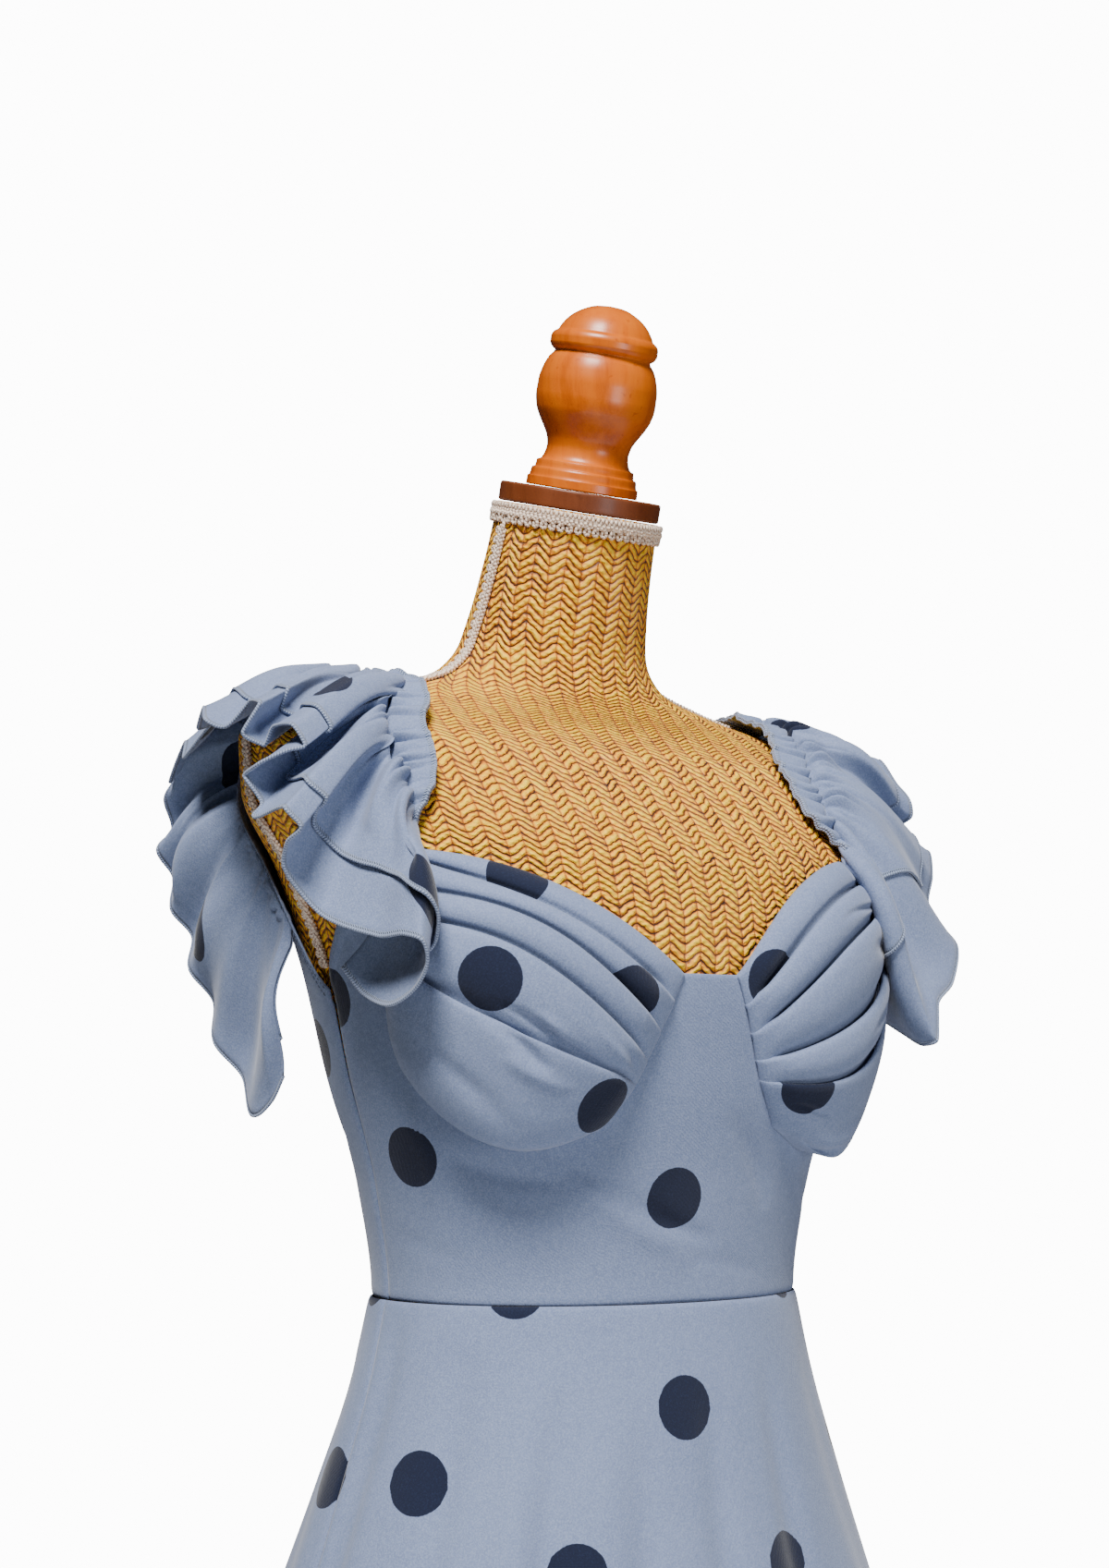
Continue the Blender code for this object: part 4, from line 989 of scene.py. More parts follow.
FRONT_CREASES = (   # angle, rise, angle, rise, bow, depth, width
    (-34, 0.080, 8, 0.030, -0.004, -0.0024, 0.0045), (-30, 0.068, 2, 0.020, -0.003, 0.0020, 0.0060),
    (-62, 0.078, -30, 0.064, -0.004, -0.0020, 0.0050), (6, 0.098, 24, 0.048, 0.003, -0.0016, 0.0060),
    (-80, 0.118, -62, 0.060, 0.003, 0.0007, 0.0080), (-14, 0.034, 26, 0.014, -0.002, -0.0006, 0.0050),
    (40, 0.080, 66, 0.040, -0.003, -0.0009, 0.0060), (-86, 0.036, -58, 0.022, 0.002, -0.0005, 0.0050),
)
BACK_CREASES = (
    (100, 0.110, 128, 0.060, -0.003, -0.0010, 0.0060), (140, 0.030, 176, 0.044, 0.004, -0.0009, 0.0055),
    (186, 0.040, 222, 0.026, 0.004, -0.0010, 0.0060), (232, 0.062, 258, 0.104, -0.003, -0.0008, 0.0060),
    (150, 0.120, 172, 0.190, 0.004, -0.0007, 0.0080), (205, 0.185, 190, 0.110, 0.004, -0.0006, 0.0080),
)


def edge_at(edge, share):
    """A point of an edge (angle, rise) at a share of its length from its first row."""
    angle, rise = np.array(edge, float).T
    arc = np.concatenate([[0], np.cumsum(np.hypot(np.diff(np.radians(angle)) * 0.15, np.diff(rise)))])
    return curve_through(arc / arc[-1], angle, share), curve_through(arc / arc[-1], rise, share)


def front_top(side, off):
    """Top edge of the front panel, by the angle off the centre: neckline, under the cup, armhole."""
    inner_angle, inner_rise = np.array(INNER_SEAM, float).T
    outer_angle, outer_rise = OUTER_EDGE[side][-1]
    hole_angle, hole_rise = np.array(ARMHOLE[side], float).T
    bow = PLEATS[side][-1][2]
    part = np.linspace(0, 1, 40)
    under_angle = inner_angle[-1] + (outer_angle - inner_angle[-1]) * part
    under_rise = inner_rise[-1] + (outer_rise - inner_rise[-1]) * part + bow * np.sin(np.pi * part)
    under_angle, under_rise = under_angle[2:-2], under_rise[2:-2] + PANEL_OVER
    corner_angle, corner_rise = [outer_angle - 1], [outer_rise + PANEL_OVER]
    angle = np.concatenate([[0], inner_angle + PANEL_UNDER, under_angle, corner_angle, hole_angle])
    rise = np.concatenate([inner_rise[:1], inner_rise, under_rise, corner_rise, hole_rise])
    return np.interp(off, angle, rise)


def back_top(angle):
    """Top edge of the back panel, the same on both sides of the centre back."""
    return curve_through(*zip(*BACK_TOP), 180 - np.abs(180 - angle))


def rolled(distance, depth=0.0009, reach=0.0016):
    """How far cloth sinks toward a seam at a distance from it."""
    return -depth * np.exp(-((np.maximum(distance, 0) / reach) ** 1.3))


def bound(distance):
    """How far a bound edge stands over its panel, by the distance from the edge."""
    return BINDING_LIFT * (1 - soft_step((distance - BINDING_WIDTH) / BINDING_STEP))


def in_metres(lines):
    """Crease lines whose places round the body are in degrees, with metres instead."""
    return [(x0 * DEGREE, y0, x1 * DEGREE, y1, *rest) for x0, y0, x1, y1, *rest in lines]


def panel(rise, angle, top, lines, binding, extra=0.0):
    """A bodice panel's skins: ease, creases, a binding at the top and rolls at the waist and sides."""
    side = np.minimum(angle.max() - angle, angle - angle.min()) * DEGREE
    shape = creased(angle * DEGREE, rise, in_metres(lines))
    shape = shape * soft_step(rise / CREASE_FADE) * soft_step(side / CREASE_FADE)
    shape = shape + rolled(rise) + rolled(side) + bound(top - rise) * binding
    out = EASE + CLOTH + shape + extra
    return on_form(rise, angle, out - WALL), on_form(rise, angle, out)


def make_bodice():
    """Both panels, with the stitches of the armhole's binding."""
    angle = np.linspace(-90 + SEAM_ANGLE, 90 - SEAM_ANGLE, 150)[None, :]
    off = np.abs(angle - CENTRE_FRONT)
    top = np.where(angle < CENTRE_FRONT, front_top("right", off), front_top("left", off))
    rise = SEAM + (top - SEAM) * np.linspace(0, 1, 88)[:, None]
    inner, outer = panel(rise, angle, top, FRONT_CREASES, np.where(off > BINDING_FROM, 1.0, 0.0))
    centres = [on_form(r, a, EASE + CLOTH) for a, r in FRONT_DOTS]
    cloth_piece("bodice_front_panel", [(inner, outer, dotted(outer, centres))],
                cut_size(outer), "bodice_front")
    angle = np.linspace(90 + SEAM_ANGLE, 270 - SEAM_ANGLE, 130)[None, :]
    top = back_top(angle)
    share = np.linspace(0, 1, 80)[:, None]
    rise = SEAM + (top - SEAM) * share
    extra = 0.001 * np.clip(2 * share - 1, 0, 1)
    inner, outer = panel(rise, angle, top, BACK_CREASES, 1.0, extra)
    centres = [on_form(r, a, EASE + CLOTH) for a, r in BACK_DOTS]
    cloth_piece("bodice_back_panel", [(inner, outer, dotted(outer, centres))],
                cut_size(outer), "bodice_back")
    seams = []
    angle = np.linspace(91.5, 268.5, 260)
    for below in BINDING_STITCHES:
        rise = back_top(angle) - below
        line = on_form(rise, angle, EASE + CLOTH + BINDING_STITCH_OUT)
        seams.append(stitch_parts(line, skin_directions(rise, angle)[2]))
    thread_piece("armhole_topstitch", seams, TOPSTITCH, "blue_crepe")


make_bodice()

# %% [markdown]
# ## The cups
#
# Each cup is one piece of cloth laid in four pleats. Their folded edges face up, and each lower band
# lies over the one above it. So a cup is five bands that overlap: a band is thick and round at its
# folded top edge, stands off the band above, and slips under the next one at its foot.

# %% Pleated cups
CUP_FULLNESS = ((0, 0.10), (1, 0.34), (2, 0.60), (3, 0.82), (4, 1.00), (4.5, 0.98), (4.8, 0.78), (5, 0.0))
CUP_BULGE = {"right": 0.030, "left": 0.021}
CUP_DROP = {"right": 0.004, "left": 0.012}     # how far the pouch hangs over its seam
PLEAT_STEP = 0.0035
BAND_UNDER = 0.12        # how far a band runs on under the next one, in pleats
PLEAT_PITCH = 42.0       # pleats to a metre down the cup
CUP_WIDTH = 0.11         # metres across the cup, for what fades toward its seams
POUCH_AT, POUCH_SPREAD = 4.75, 0.22     # where the pouch hangs most, and how far that spreads, in pleats
CUP_DOTS = {             # band, share across, place down the pleats
    "right": ((3, 0.535, 3.50), (4, 0.105, 4.42), (1, 0.14, 2.03), (0, 0.585, 0.30)),
    "left": ((0, 0.12, 1.06), (4, 0.165, 4.02), (2, 0.80, 2.55), (4, 0.86, 3.9)),
}
CUP_CREASES = {          # share across, place down, share across, place down, bow, depth, width
    "right": (
        (0.50, 3.70, 0.20, 3.94, 0.02, -0.0045, 0.050), (0.36, 3.55, 0.22, 3.98, -0.03, 0.0026, 0.040),
        (0.56, 3.96, 0.34, 4.20, 0.03, -0.0034, 0.040), (0.46, 4.16, 0.26, 4.32, -0.02, 0.0022, 0.050),
        (0.80, 4.35, 0.40, 4.70, 0.05, -0.0016, 0.060), (0.20, 3.30, 0.06, 3.80, 0.02, 0.0014, 0.040),
        (0.10, 3.20, 0.04, 3.90, 0.01, -0.0020, 0.025),
    ),
    "left": (
        (0.14, 4.86, 0.42, 4.66, 0.03, -0.0048, 0.040), (0.20, 4.70, 0.52, 4.50, 0.02, 0.0030, 0.050),
        (0.60, 4.70, 0.84, 4.30, 0.04, -0.0030, 0.060), (0.10, 4.30, 0.30, 4.45, 0.02, -0.0018, 0.040),
        (0.62, 2.20, 0.90, 2.70, 0.02, -0.0022, 0.060), (0.55, 3.30, 0.85, 3.55, 0.02, -0.0020, 0.060),
        (0.50, 1.30, 0.90, 1.75, 0.02, -0.0018, 0.060),
    ),
}


def cup_base(side, u, w):
    """Rise, angle and distance out: u runs from the inner seam to the outer edge, w down the pleats."""
    sign = 1 if side == "left" else -1
    lines = np.arange(len(PLEATS[side]), dtype=float)
    inner, outer, bow = (
        np.interp(w, lines, column(PLEATS[side], PLEAT_COLUMNS, name)) for name in PLEAT_COLUMNS
    )
    inner_angle, inner_rise = edge_at(INNER_SEAM, inner)
    outer_angle, outer_rise = edge_at(OUTER_EDGE[side], outer)
    bow = bow * np.sin(np.pi * u)
    angle = inner_angle + (outer_angle - inner_angle) * u
    rise = inner_rise + (outer_rise - inner_rise) * u + bow
    # The outer half is flatter than the inner one, most of all at the neckline.
    edge_shape = np.where(u > 0.5, 1.25 - 0.126 * w, 0.62)
    full = curve_through(*zip(*CUP_FULLNESS), w) * np.sin(np.pi * np.clip(u, 0, 1)) ** edge_shape
    hang = CUP_DROP[side] * np.exp(-(((w - POUCH_AT) / POUCH_SPREAD) ** 2)) * np.sin(np.pi * u) ** 2
    return rise - hang, CENTRE_FRONT + sign * angle, EASE + CLOTH + LAP + CUP_BULGE[side] * full


def cup_band(side, band, u):
    """One band's skins: it stands over the band above by a step that fades toward its foot."""
    last = band == len(PLEATS[side]) - 2
    foot = band + 1 + (0.0 if last else BAND_UNDER)
    share = np.linspace(0, 1, 34 if last else 22)[:, None]
    w = foot + (band - foot) * share
    down = w - band
    height = down / PLEAT_PITCH
    edge = np.minimum(u, 1 - u) * CUP_WIDTH
    step = np.where(band > 0, PLEAT_STEP * np.clip(1 - down / (0.5 if last else 1.0), 0, 1), 0.0)
    step = step * np.clip(np.minimum(u, 1 - u) * 12, 0.3, 1)
    rise, angle, out = cup_base(side, u, np.minimum(w, 5.0))
    puff = np.sin(np.pi * np.clip(down / (0.7 if last else 0.9), 0, 1)) * (0.0008 if last else 0.0024)
    sink = 0.0 if last else 0.0018 * soft_step((down - 0.72) / 0.3)
    step = step + (puff - sink) * soft_step(edge / 0.014)
    shape = creased(u, w, CUP_CREASES[side]) * soft_step(edge / 0.010)
    shape = shape + rolled(edge, depth=0.0008, reach=0.0018)
    if last:
        shape = shape + rolled((5.0 - w) * 0.02, depth=0.0008, reach=0.002)
    outer = out + step + CLOTH + shape
    thick = WALL + (0.0011 if band else 0.0006) * np.exp(-((height / 0.004) ** 2))
    roll = 0.0009 * np.exp(-((height / 0.0010) ** 1.5))
    return on_form(rise, angle, outer - roll - thick), on_form(rise, angle, outer - roll)


def make_cups():
    """Five overlapping bands a cup, each with the dots that were printed on it."""
    u = np.linspace(0, 1, 104)
    u = (u - 0.06 * np.sin(2 * np.pi * u))[None, :]
    for side in ("right", "left"):
        shells, sizes = [], []
        for band in range(len(PLEATS[side]) - 1):
            inner, outer = cup_band(side, band, u)
            centres = []
            for own, across, down in CUP_DOTS[side]:
                if own == band:
                    rise, angle, out = cup_base(side, np.array(across), np.array(down))
                    centres.append(on_form(rise, angle, out + CLOTH + PLEAT_STEP / 2))
            shells.append((inner, outer, dotted(outer, centres)))
            sizes.append(cut_size(outer))
        widths, lengths, areas = zip(*sizes)
        cloth_piece(f"pleated_cup_{side}", shells,
                    (max(widths), sum(lengths), sum(areas)), f"cup_{side}")


make_cups()

# %% [markdown]
# ## The shoulder ruffles
#
# Each ruffle is two layers of cloth gathered on one line of stitching that runs from the cup over the
# shoulder and down the back armhole. On the neck side a narrow heading stands up, and on the arm side
# the flounce springs out and falls. The free edge is a table with a row for each turn of a fold. The
# folds grow from nothing at the gathers to their full swing at the edge, and small gathers radiate
# from the stitches on both sides.

# %% Ruffles: the gathering line and the folds
GATHER = {           # the gathering line: rise, angle, from the cup over the shoulder to the back armhole
    "right": (
        (0.240, 54.5), (0.256, 52.0), (0.278, 47.5), (0.300, 46), (0.317, 52), (0.3285, 73), (0.3285, 96),
        (0.3215, 112), (0.308, 124), (0.288, 127), (0.262, 118), (0.232, 109), (0.203, 102.5),
    ),
    "left": (
        (0.244, 33), (0.262, 30), (0.284, 30), (0.304, 35), (0.317, 48), (0.3270, 73), (0.3240, 98),
        (0.3145, 118), (0.3025, 132), (0.291, 132), (0.262, 118), (0.232, 109), (0.203, 102.5),
    ),
}
# How far that line stands out of the form, by its share: over the side braid, then over the back panel.
LINE_OUT = (
    (0.00, 0.0010), (0.20, 0.0010), (0.30, 0.0030), (0.52, 0.0034),
    (0.60, 0.0046), (0.72, 0.0044), (0.82, 0.0046), (1.00, 0.0046),
)
# The lower layer's free edge, fold by fold: which share of the gathering line each point falls from,
# where it is, how far down the lower layer the upper one reaches, and how far that one lifts off it.
# Below, a knot is a row of this table, counted from 0.
RUFFLE_EDGE_COLUMNS = ("share", "x", "y", "rise", "over_reach", "over_lift")
RUFFLE_EDGE = {
    "right": (
        (0.000, -0.184, -0.060, 0.172, 0.70, 0.000), (0.010, -0.178, -0.072, 0.158, 0.70, 0.000),
        (0.020, -0.176, -0.097, 0.152, 0.72, 0.003), (0.030, -0.172, -0.115, 0.160, 0.72, 0.003),
        (0.045, -0.172, -0.126, 0.172, 0.72, 0.004), (0.060, -0.177, -0.129, 0.182, 0.72, 0.004),
        (0.080, -0.181, -0.120, 0.185, 0.68, 0.003), (0.100, -0.186, -0.102, 0.185, 0.64, 0.002),
        (0.120, -0.194, -0.085, 0.190, 0.66, 0.002), (0.140, -0.202, -0.069, 0.198, 0.68, 0.000),
        (0.155, -0.212, -0.064, 0.210, 0.70, 0.000), (0.165, -0.221, -0.066, 0.222, 0.72, 0.000),
        (0.175, -0.223, -0.074, 0.232, 0.74, 0.000), (0.185, -0.220, -0.083, 0.239, 0.76, 0.000),
        (0.200, -0.227, -0.081, 0.247, 0.78, 0.000), (0.220, -0.225, -0.071, 0.249, 0.76, 0.000),
        (0.240, -0.230, -0.051, 0.246, 0.72, 0.000), (0.258, -0.224, -0.047, 0.254, 0.70, 0.000),
        (0.280, -0.232, -0.042, 0.268, 0.68, 0.000), (0.300, -0.230, -0.053, 0.273, 0.70, 0.000),
        (0.320, -0.218, -0.061, 0.280, 0.74, 0.000), (0.335, -0.209, -0.064, 0.283, 0.78, 0.000),
        (0.350, -0.214, -0.060, 0.293, 0.78, 0.000), (0.370, -0.217, -0.046, 0.294, 0.74, 0.000),
        (0.390, -0.218, -0.036, 0.285, 0.70, 0.000), (0.414, -0.230, -0.035, 0.291, 0.70, 0.000),
        (0.433, -0.222, -0.038, 0.307, 0.74, 0.000), (0.447, -0.220, -0.024, 0.310, 0.74, 0.000),
        (0.465, -0.229, -0.011, 0.297, 0.70, 0.000), (0.483, -0.236, -0.002, 0.302, 0.70, 0.000),
        (0.500, -0.227, 0.020, 0.312, 0.74, 0.000), (0.520, -0.219, 0.045, 0.305, 0.72, 0.000),
        (0.540, -0.201, 0.069, 0.311, 0.72, 0.000), (0.556, -0.205, 0.094, 0.296, 0.70, 0.000),
        (0.580, -0.196, 0.115, 0.308, 0.72, 0.000), (0.600, -0.195, 0.138, 0.288, 0.74, 0.000),
        (0.614, -0.189, 0.142, 0.293, 0.76, 0.000), (0.645, -0.193, 0.151, 0.280, 0.76, 0.000),
        (0.679, -0.185, 0.158, 0.264, 0.72, 0.000), (0.700, -0.199, 0.147, 0.249, 0.70, 0.000),
        (0.730, -0.187, 0.150, 0.233, 0.72, 0.000), (0.760, -0.194, 0.137, 0.215, 0.76, 0.000),
        (0.790, -0.181, 0.135, 0.198, 0.74, 0.000), (0.820, -0.190, 0.118, 0.179, 0.70, 0.000),
        (0.850, -0.178, 0.110, 0.160, 0.72, 0.000), (0.880, -0.184, 0.096, 0.138, 0.76, 0.000),
        (0.910, -0.171, 0.084, 0.117, 0.74, 0.000), (0.940, -0.176, 0.062, 0.097, 0.70, 0.000),
        (0.970, -0.172, 0.046, 0.104, 0.70, 0.000), (1.000, -0.170, 0.035, 0.118, 0.70, 0.000),
    ),
    "left": (
        (0.000, 0.170, -0.060, 0.152, 0.60, 0.000), (0.010, 0.168, -0.082, 0.144, 0.60, 0.000),
        (0.020, 0.158, -0.112, 0.137, 0.58, 0.000), (0.043, 0.157, -0.122, 0.139, 0.52, 0.000),
        (0.052, 0.161, -0.118, 0.158, 0.40, 0.000), (0.058, 0.183, -0.106, 0.172, 0.38, 0.000),
        (0.085, 0.196, -0.096, 0.192, 0.52, 0.000), (0.105, 0.203, -0.073, 0.207, 0.74, 0.000),
        (0.130, 0.205, -0.059, 0.221, 0.84, 0.000), (0.155, 0.210, -0.058, 0.238, 0.84, 0.000),
        (0.185, 0.214, -0.053, 0.252, 0.82, 0.000), (0.215, 0.215, -0.037, 0.259, 0.80, 0.000),
        (0.245, 0.213, -0.030, 0.271, 0.82, 0.000), (0.275, 0.214, -0.038, 0.277, 0.84, 0.000),
        (0.305, 0.212, -0.037, 0.288, 0.84, 0.000), (0.335, 0.216, -0.022, 0.298, 0.82, 0.000),
        (0.370, 0.210, -0.014, 0.313, 0.80, 0.000), (0.400, 0.213, 0.003, 0.308, 0.76, 0.000),
        (0.430, 0.208, 0.012, 0.321, 0.72, 0.000), (0.460, 0.214, 0.026, 0.311, 0.70, 0.000),
        (0.490, 0.206, 0.040, 0.324, 0.72, 0.000), (0.515, 0.208, 0.060, 0.310, 0.72, 0.000),
        (0.540, 0.194, 0.080, 0.318, 0.72, 0.000), (0.565, 0.192, 0.104, 0.300, 0.70, 0.000),
        (0.592, 0.180, 0.118, 0.303, 0.72, 0.000), (0.610, 0.185, 0.136, 0.296, 0.76, 0.000),
        (0.640, 0.188, 0.151, 0.287, 0.76, 0.000), (0.673, 0.200, 0.139, 0.271, 0.72, 0.000),
        (0.700, 0.186, 0.154, 0.250, 0.70, 0.000), (0.730, 0.197, 0.144, 0.235, 0.72, 0.000),
        (0.760, 0.183, 0.146, 0.216, 0.76, 0.000), (0.790, 0.194, 0.132, 0.198, 0.74, 0.000),
        (0.820, 0.180, 0.128, 0.181, 0.70, 0.000), (0.850, 0.191, 0.112, 0.163, 0.72, 0.000),
        (0.880, 0.178, 0.102, 0.142, 0.76, 0.000), (0.910, 0.181, 0.082, 0.119, 0.74, 0.000),
        (0.940, 0.172, 0.062, 0.100, 0.70, 0.000), (0.970, 0.175, 0.046, 0.106, 0.70, 0.000),
        (1.000, 0.174, 0.035, 0.120, 0.70, 0.000),
    ),
}
HEADING = 0.020          # the narrow frill on the neck side of the gathering line
HEADING_LIFT = {"right": 0.22, "left": 0.08}     # its rise off the skin at the front, per unit of width
HEADING_REST = 0.03      # and everywhere
RUFFLE_ARCH = 0.013      # how far the flounce springs up before it falls
FRONT_SPRING = 0.014     # and how much more at its front end, over the cup's corner
FRONT_SWING = {"right": (0.011, -0.009, 0.0), "left": (-0.010, 0.0, 0.0)}   # of its front end, sideways
MEAN_SPREAD = 7.0        # knots that the flounce's mean edge is smoothed over
FOLD_START = {"right": 0.60, "left": 0.85}     # how folds that rise off the skin deepen toward the edge
GATHER_END = {"right": 0.50, "left": 0.34}     # share of the line past which the fine gathers weaken
FINE_PITCH, BROAD_PITCH, FRILL_PITCH = 0.0084, 0.0185, 0.0132     # cloth from one gather to the next
LINE_DEPTH, FINE_DEPTH, BROAD_DEPTH, FRILL_DEPTH = 0.0014, 0.0060, 0.0062, 0.0026
RUFFLE_CREASES = {       # knot, tenths of the way down, knot, tenths down, bow, depth, width in knots
    "right": (
        (44.2, 0.5, 43.8, 9.6, 0.3, -0.0090, 0.70), (46.4, 0.5, 46.0, 9.6, -0.2, 0.0070, 0.80),
        (40.6, 0.5, 41.0, 9.2, 0.3, -0.0080, 0.75), (48.6, 0.8, 47.8, 9.4, -0.2, -0.0070, 0.70),
        (37.4, 0.6, 37.0, 9.0, 0.2, -0.0060, 0.70), (42.4, 2.0, 42.4, 9.9, 0.0, 0.0050, 0.60),
        (4.4, 0.5, 6.6, 6.8, 0.2, -0.0085, 0.80), (2.4, 0.8, 2.6, 8.0, 0.0, 0.0050, 0.80),
        (9.6, 0.4, 9.0, 6.4, 0.2, -0.0060, 0.70), (7.2, 0.6, 8.2, 5.0, 0.0, 0.0045, 0.60),
        (16.0, 0.4, 15.6, 7.0, 0.2, -0.0060, 0.80), (26.6, 0.4, 26.4, 8.0, 0.0, -0.0050, 0.80),
    ),
    "left": (
        (5.6, 0.2, 4.4, 9.5, 0.4, -0.0150, 0.90), (8.4, 0.3, 8.0, 10.6, -0.3, 0.0070, 1.50),
        (12.0, 0.4, 11.2, 9.8, 0.4, -0.0070, 1.00), (13.4, 2.0, 12.8, 8.5, 0.2, 0.0080, 1.20),
        (15.6, 0.4, 15.4, 9.4, 0.0, -0.0080, 0.70), (18.2, 0.4, 18.0, 9.8, 0.3, -0.0120, 0.90),
        (2.2, 0.8, 1.6, 10.6, 0.0, 0.0060, 0.90), (44.0, 0.5, 43.8, 9.6, 0.3, -0.0080, 0.70),
        (40.4, 0.5, 41.0, 9.2, 0.3, -0.0070, 0.75),
    ),
}
LAYER_GAP = 0.0005       # between its two layers
RUFFLE_CLOTH = 0.0010    # one layer of the ruffle


def strap_point(side, share, to_neck):
    """A point of the gathering line, or one moved toward the neck over the skin, and the skin's normal.

    The move is across the line, on the skin. The dot products with the skin's own two directions give
    two equations, and they are solved for how many degrees round and metres up the move is.
    """
    sign = 1 if side == "left" else -1
    rise, angle = np.array(GATHER[side], float).T
    points = on_form(rise, sign * angle)
    arc = walk(points)
    arc = arc / arc[-1]
    rise = curve_through(arc, rise, share)
    angle = curve_through(arc, angle, share) * sign
    out = curve_through(*zip(*LINE_OUT), share)
    line = on_form(rise, angle, out)
    around, upwards, skin = skin_directions(rise, angle)
    ahead, back = (
        np.stack([curve_through(arc, values, np.clip(share + step, 0, 1)) for values in points.T], axis=-1)
        for step in (0.08, -0.08)
    )
    across = unit(np.cross(skin, unit(ahead - back))) * sign
    pairs = ((around, around), (upwards, upwards), (around, upwards), (across, around), (across, upwards))
    rounds, ups, both, move_round, move_up = (np.sum(one * other, axis=-1) for one, other in pairs)
    whole = rounds * ups - both * both
    turn = (move_round * ups - move_up * both) / whole
    climb = (move_up * rounds - move_round * both) / whole
    lift = HEADING_LIFT[side] * (1 - soft_step((share - 0.45) / 0.12)) + HEADING_REST
    moved = on_form(rise + climb * to_neck, angle + turn * to_neck, out + lift * to_neck)
    return np.where(np.asarray(to_neck)[..., None] > 0, moved, line), skin


def puckers(run, pitch, start):
    """Gathers from 0 to 1: a sine's size to a power gives round crests and narrow valleys."""
    long_wave = 0.70 * np.sin(2 * np.pi * run / 0.047 + start)
    short_wave = 0.45 * np.sin(2 * np.pi * run / 0.021 + 2 * start)
    wander = long_wave + short_wave
    uneven = 0.74 + 0.26 * np.sin(2 * np.pi * run / (2.3 * pitch) + start)
    return uneven * np.abs(np.sin(np.pi * run / pitch + wander)) ** 0.85


def gathers(run, away, behind, on_heading):
    """How far gathers push the cloth out, by how far along the line and away from it a point is.

    The fine ones sit at the stitches and the broad ones further out, and each fades as a bell.
    """
    fine = puckers(run, FINE_PITCH, 0.6) * (LINE_DEPTH + FINE_DEPTH * soft_step(away / 0.0040))
    frill = fine * (0.16 + 0.84 * np.exp(-((away / 0.011) ** 2)))
    frill = frill + puckers(run, FRILL_PITCH, 4.0) * FRILL_DEPTH * soft_step(away / 0.012)
    frill = frill * (1 - 0.5 * behind)
    broad = puckers(run, BROAD_PITCH, 2.1) * BROAD_DEPTH * soft_step(away / 0.011)
    falling = fine * np.exp(-((away / 0.018) ** 2)) * (1 - 0.8 * behind)
    falling = falling + broad * np.exp(-((away / 0.045) ** 2))
    return np.where(on_heading, frill, falling)


def folded_layer(side, upper, knots, head_rows, fall_rows):
    """A layer before it is gathered: a line, plus a mean edge, plus folds that grow with the way down.

    The way down is -1 at the heading's edge, 0 on the gathering line and 1 at the lower layer's edge.
    """
    table = RUFFLE_EDGE[side]
    rows = np.arange(len(table), dtype=float)
    near = np.exp(-(((rows[:, None] - rows[None, :]) / MEAN_SPREAD) ** 2))
    near /= near.sum(axis=1, keepdims=True)
    share, x, y, rise, reach, lift = (column(table, RUFFLE_EDGE_COLUMNS, n) for n in RUFFLE_EDGE_COLUMNS)
    edge = np.stack([x, y, WAIST + rise], axis=-1)
    mean = near @ edge
    fold = np.stack([curve_through(rows, values, knots) for values in (edge - mean).T], axis=-1)
    mean = np.stack([curve_through(rows, values, knots) for values in mean.T], axis=-1)
    share, reach, lift = (curve_through(rows, values, knots) for values in (share, reach, lift))
    head = -np.linspace(1, 0, head_rows)[:, None] * np.ones(len(knots))
    fall = (np.linspace(0, 1, fall_rows)[1:, None] ** 1.15) * (reach if upper else np.ones(len(knots)))
    part = np.concatenate([head, fall])
    frill = np.maximum(-part, 0.0) * HEADING * (0.35 + 0.65 * soft_step(np.minimum(share, 1 - share) / 0.07))
    line, skin = strap_point(side, share, frill)
    down = np.maximum(part, 0.0)[..., None]
    spring = (RUFFLE_ARCH + FRONT_SPRING * np.exp(-((share / 0.09) ** 2)))[None, :, None]
    arch = spring * np.sin(np.pi * down) * (1.15 - down)
    sunk = skin * np.minimum(np.sum(fold * skin, axis=-1, keepdims=True), 0)
    risen = (fold - sunk) * down ** FOLD_START[side]
    grid = line * (1 - down) + mean * down + risen + sunk * down + skin * arch
    end = (np.exp(-((share / 0.045) ** 2)) * np.sin(np.pi * np.clip(down[..., 0], 0, 1)))[..., None]
    return grid + np.array(FRONT_SWING[side]) * end, skin, part, frill, share, lift


def ruffle_skins(side, upper, knots, head_rows, fall_rows):
    """A layer's skins: the folded layer, moved out by its gathers and creases and in at the stitches."""
    grid, skin, part, frill, share, lift = folded_layer(side, upper, knots, head_rows, fall_rows)
    line_row = head_rows - 1
    normal = normals_of(grid)
    normal = normal * np.sign(np.mean(np.sum(normal[head_rows] * skin, axis=-1)))
    normal = unit(smoothed(smoothed(normal, 2.5, axis=0), 1.2 * len(knots) / len(RUFFLE_EDGE[side])))
    fallen = run_along(grid, 0)
    away = np.where(part < 0, frill, fallen - fallen[line_row:head_rows])
    behind = soft_step((share - GATHER_END[side]) / 0.1)[None, :]
    down = np.maximum(part, 0.0)
    pressed = creased(knots[None, :], down * 10, RUFFLE_CREASES[side])
    moved = gathers(run_along(grid, 1)[line_row], away, behind, part < 0)
    moved = rolled(away, depth=0.0016, reach=0.0020) + moved + np.where(part < 0, 0.0, pressed)
    grid = grid + normal * moved[..., None]
    under = RUFFLE_CLOTH + LAYER_GAP + 0.0004 * down + lift * down ** 2 if upper else 0.0 * down
    inner, outer = grid + normal * under[..., None], grid + normal * (under + RUFFLE_CLOTH)[..., None]
    return inner, outer, normal, part


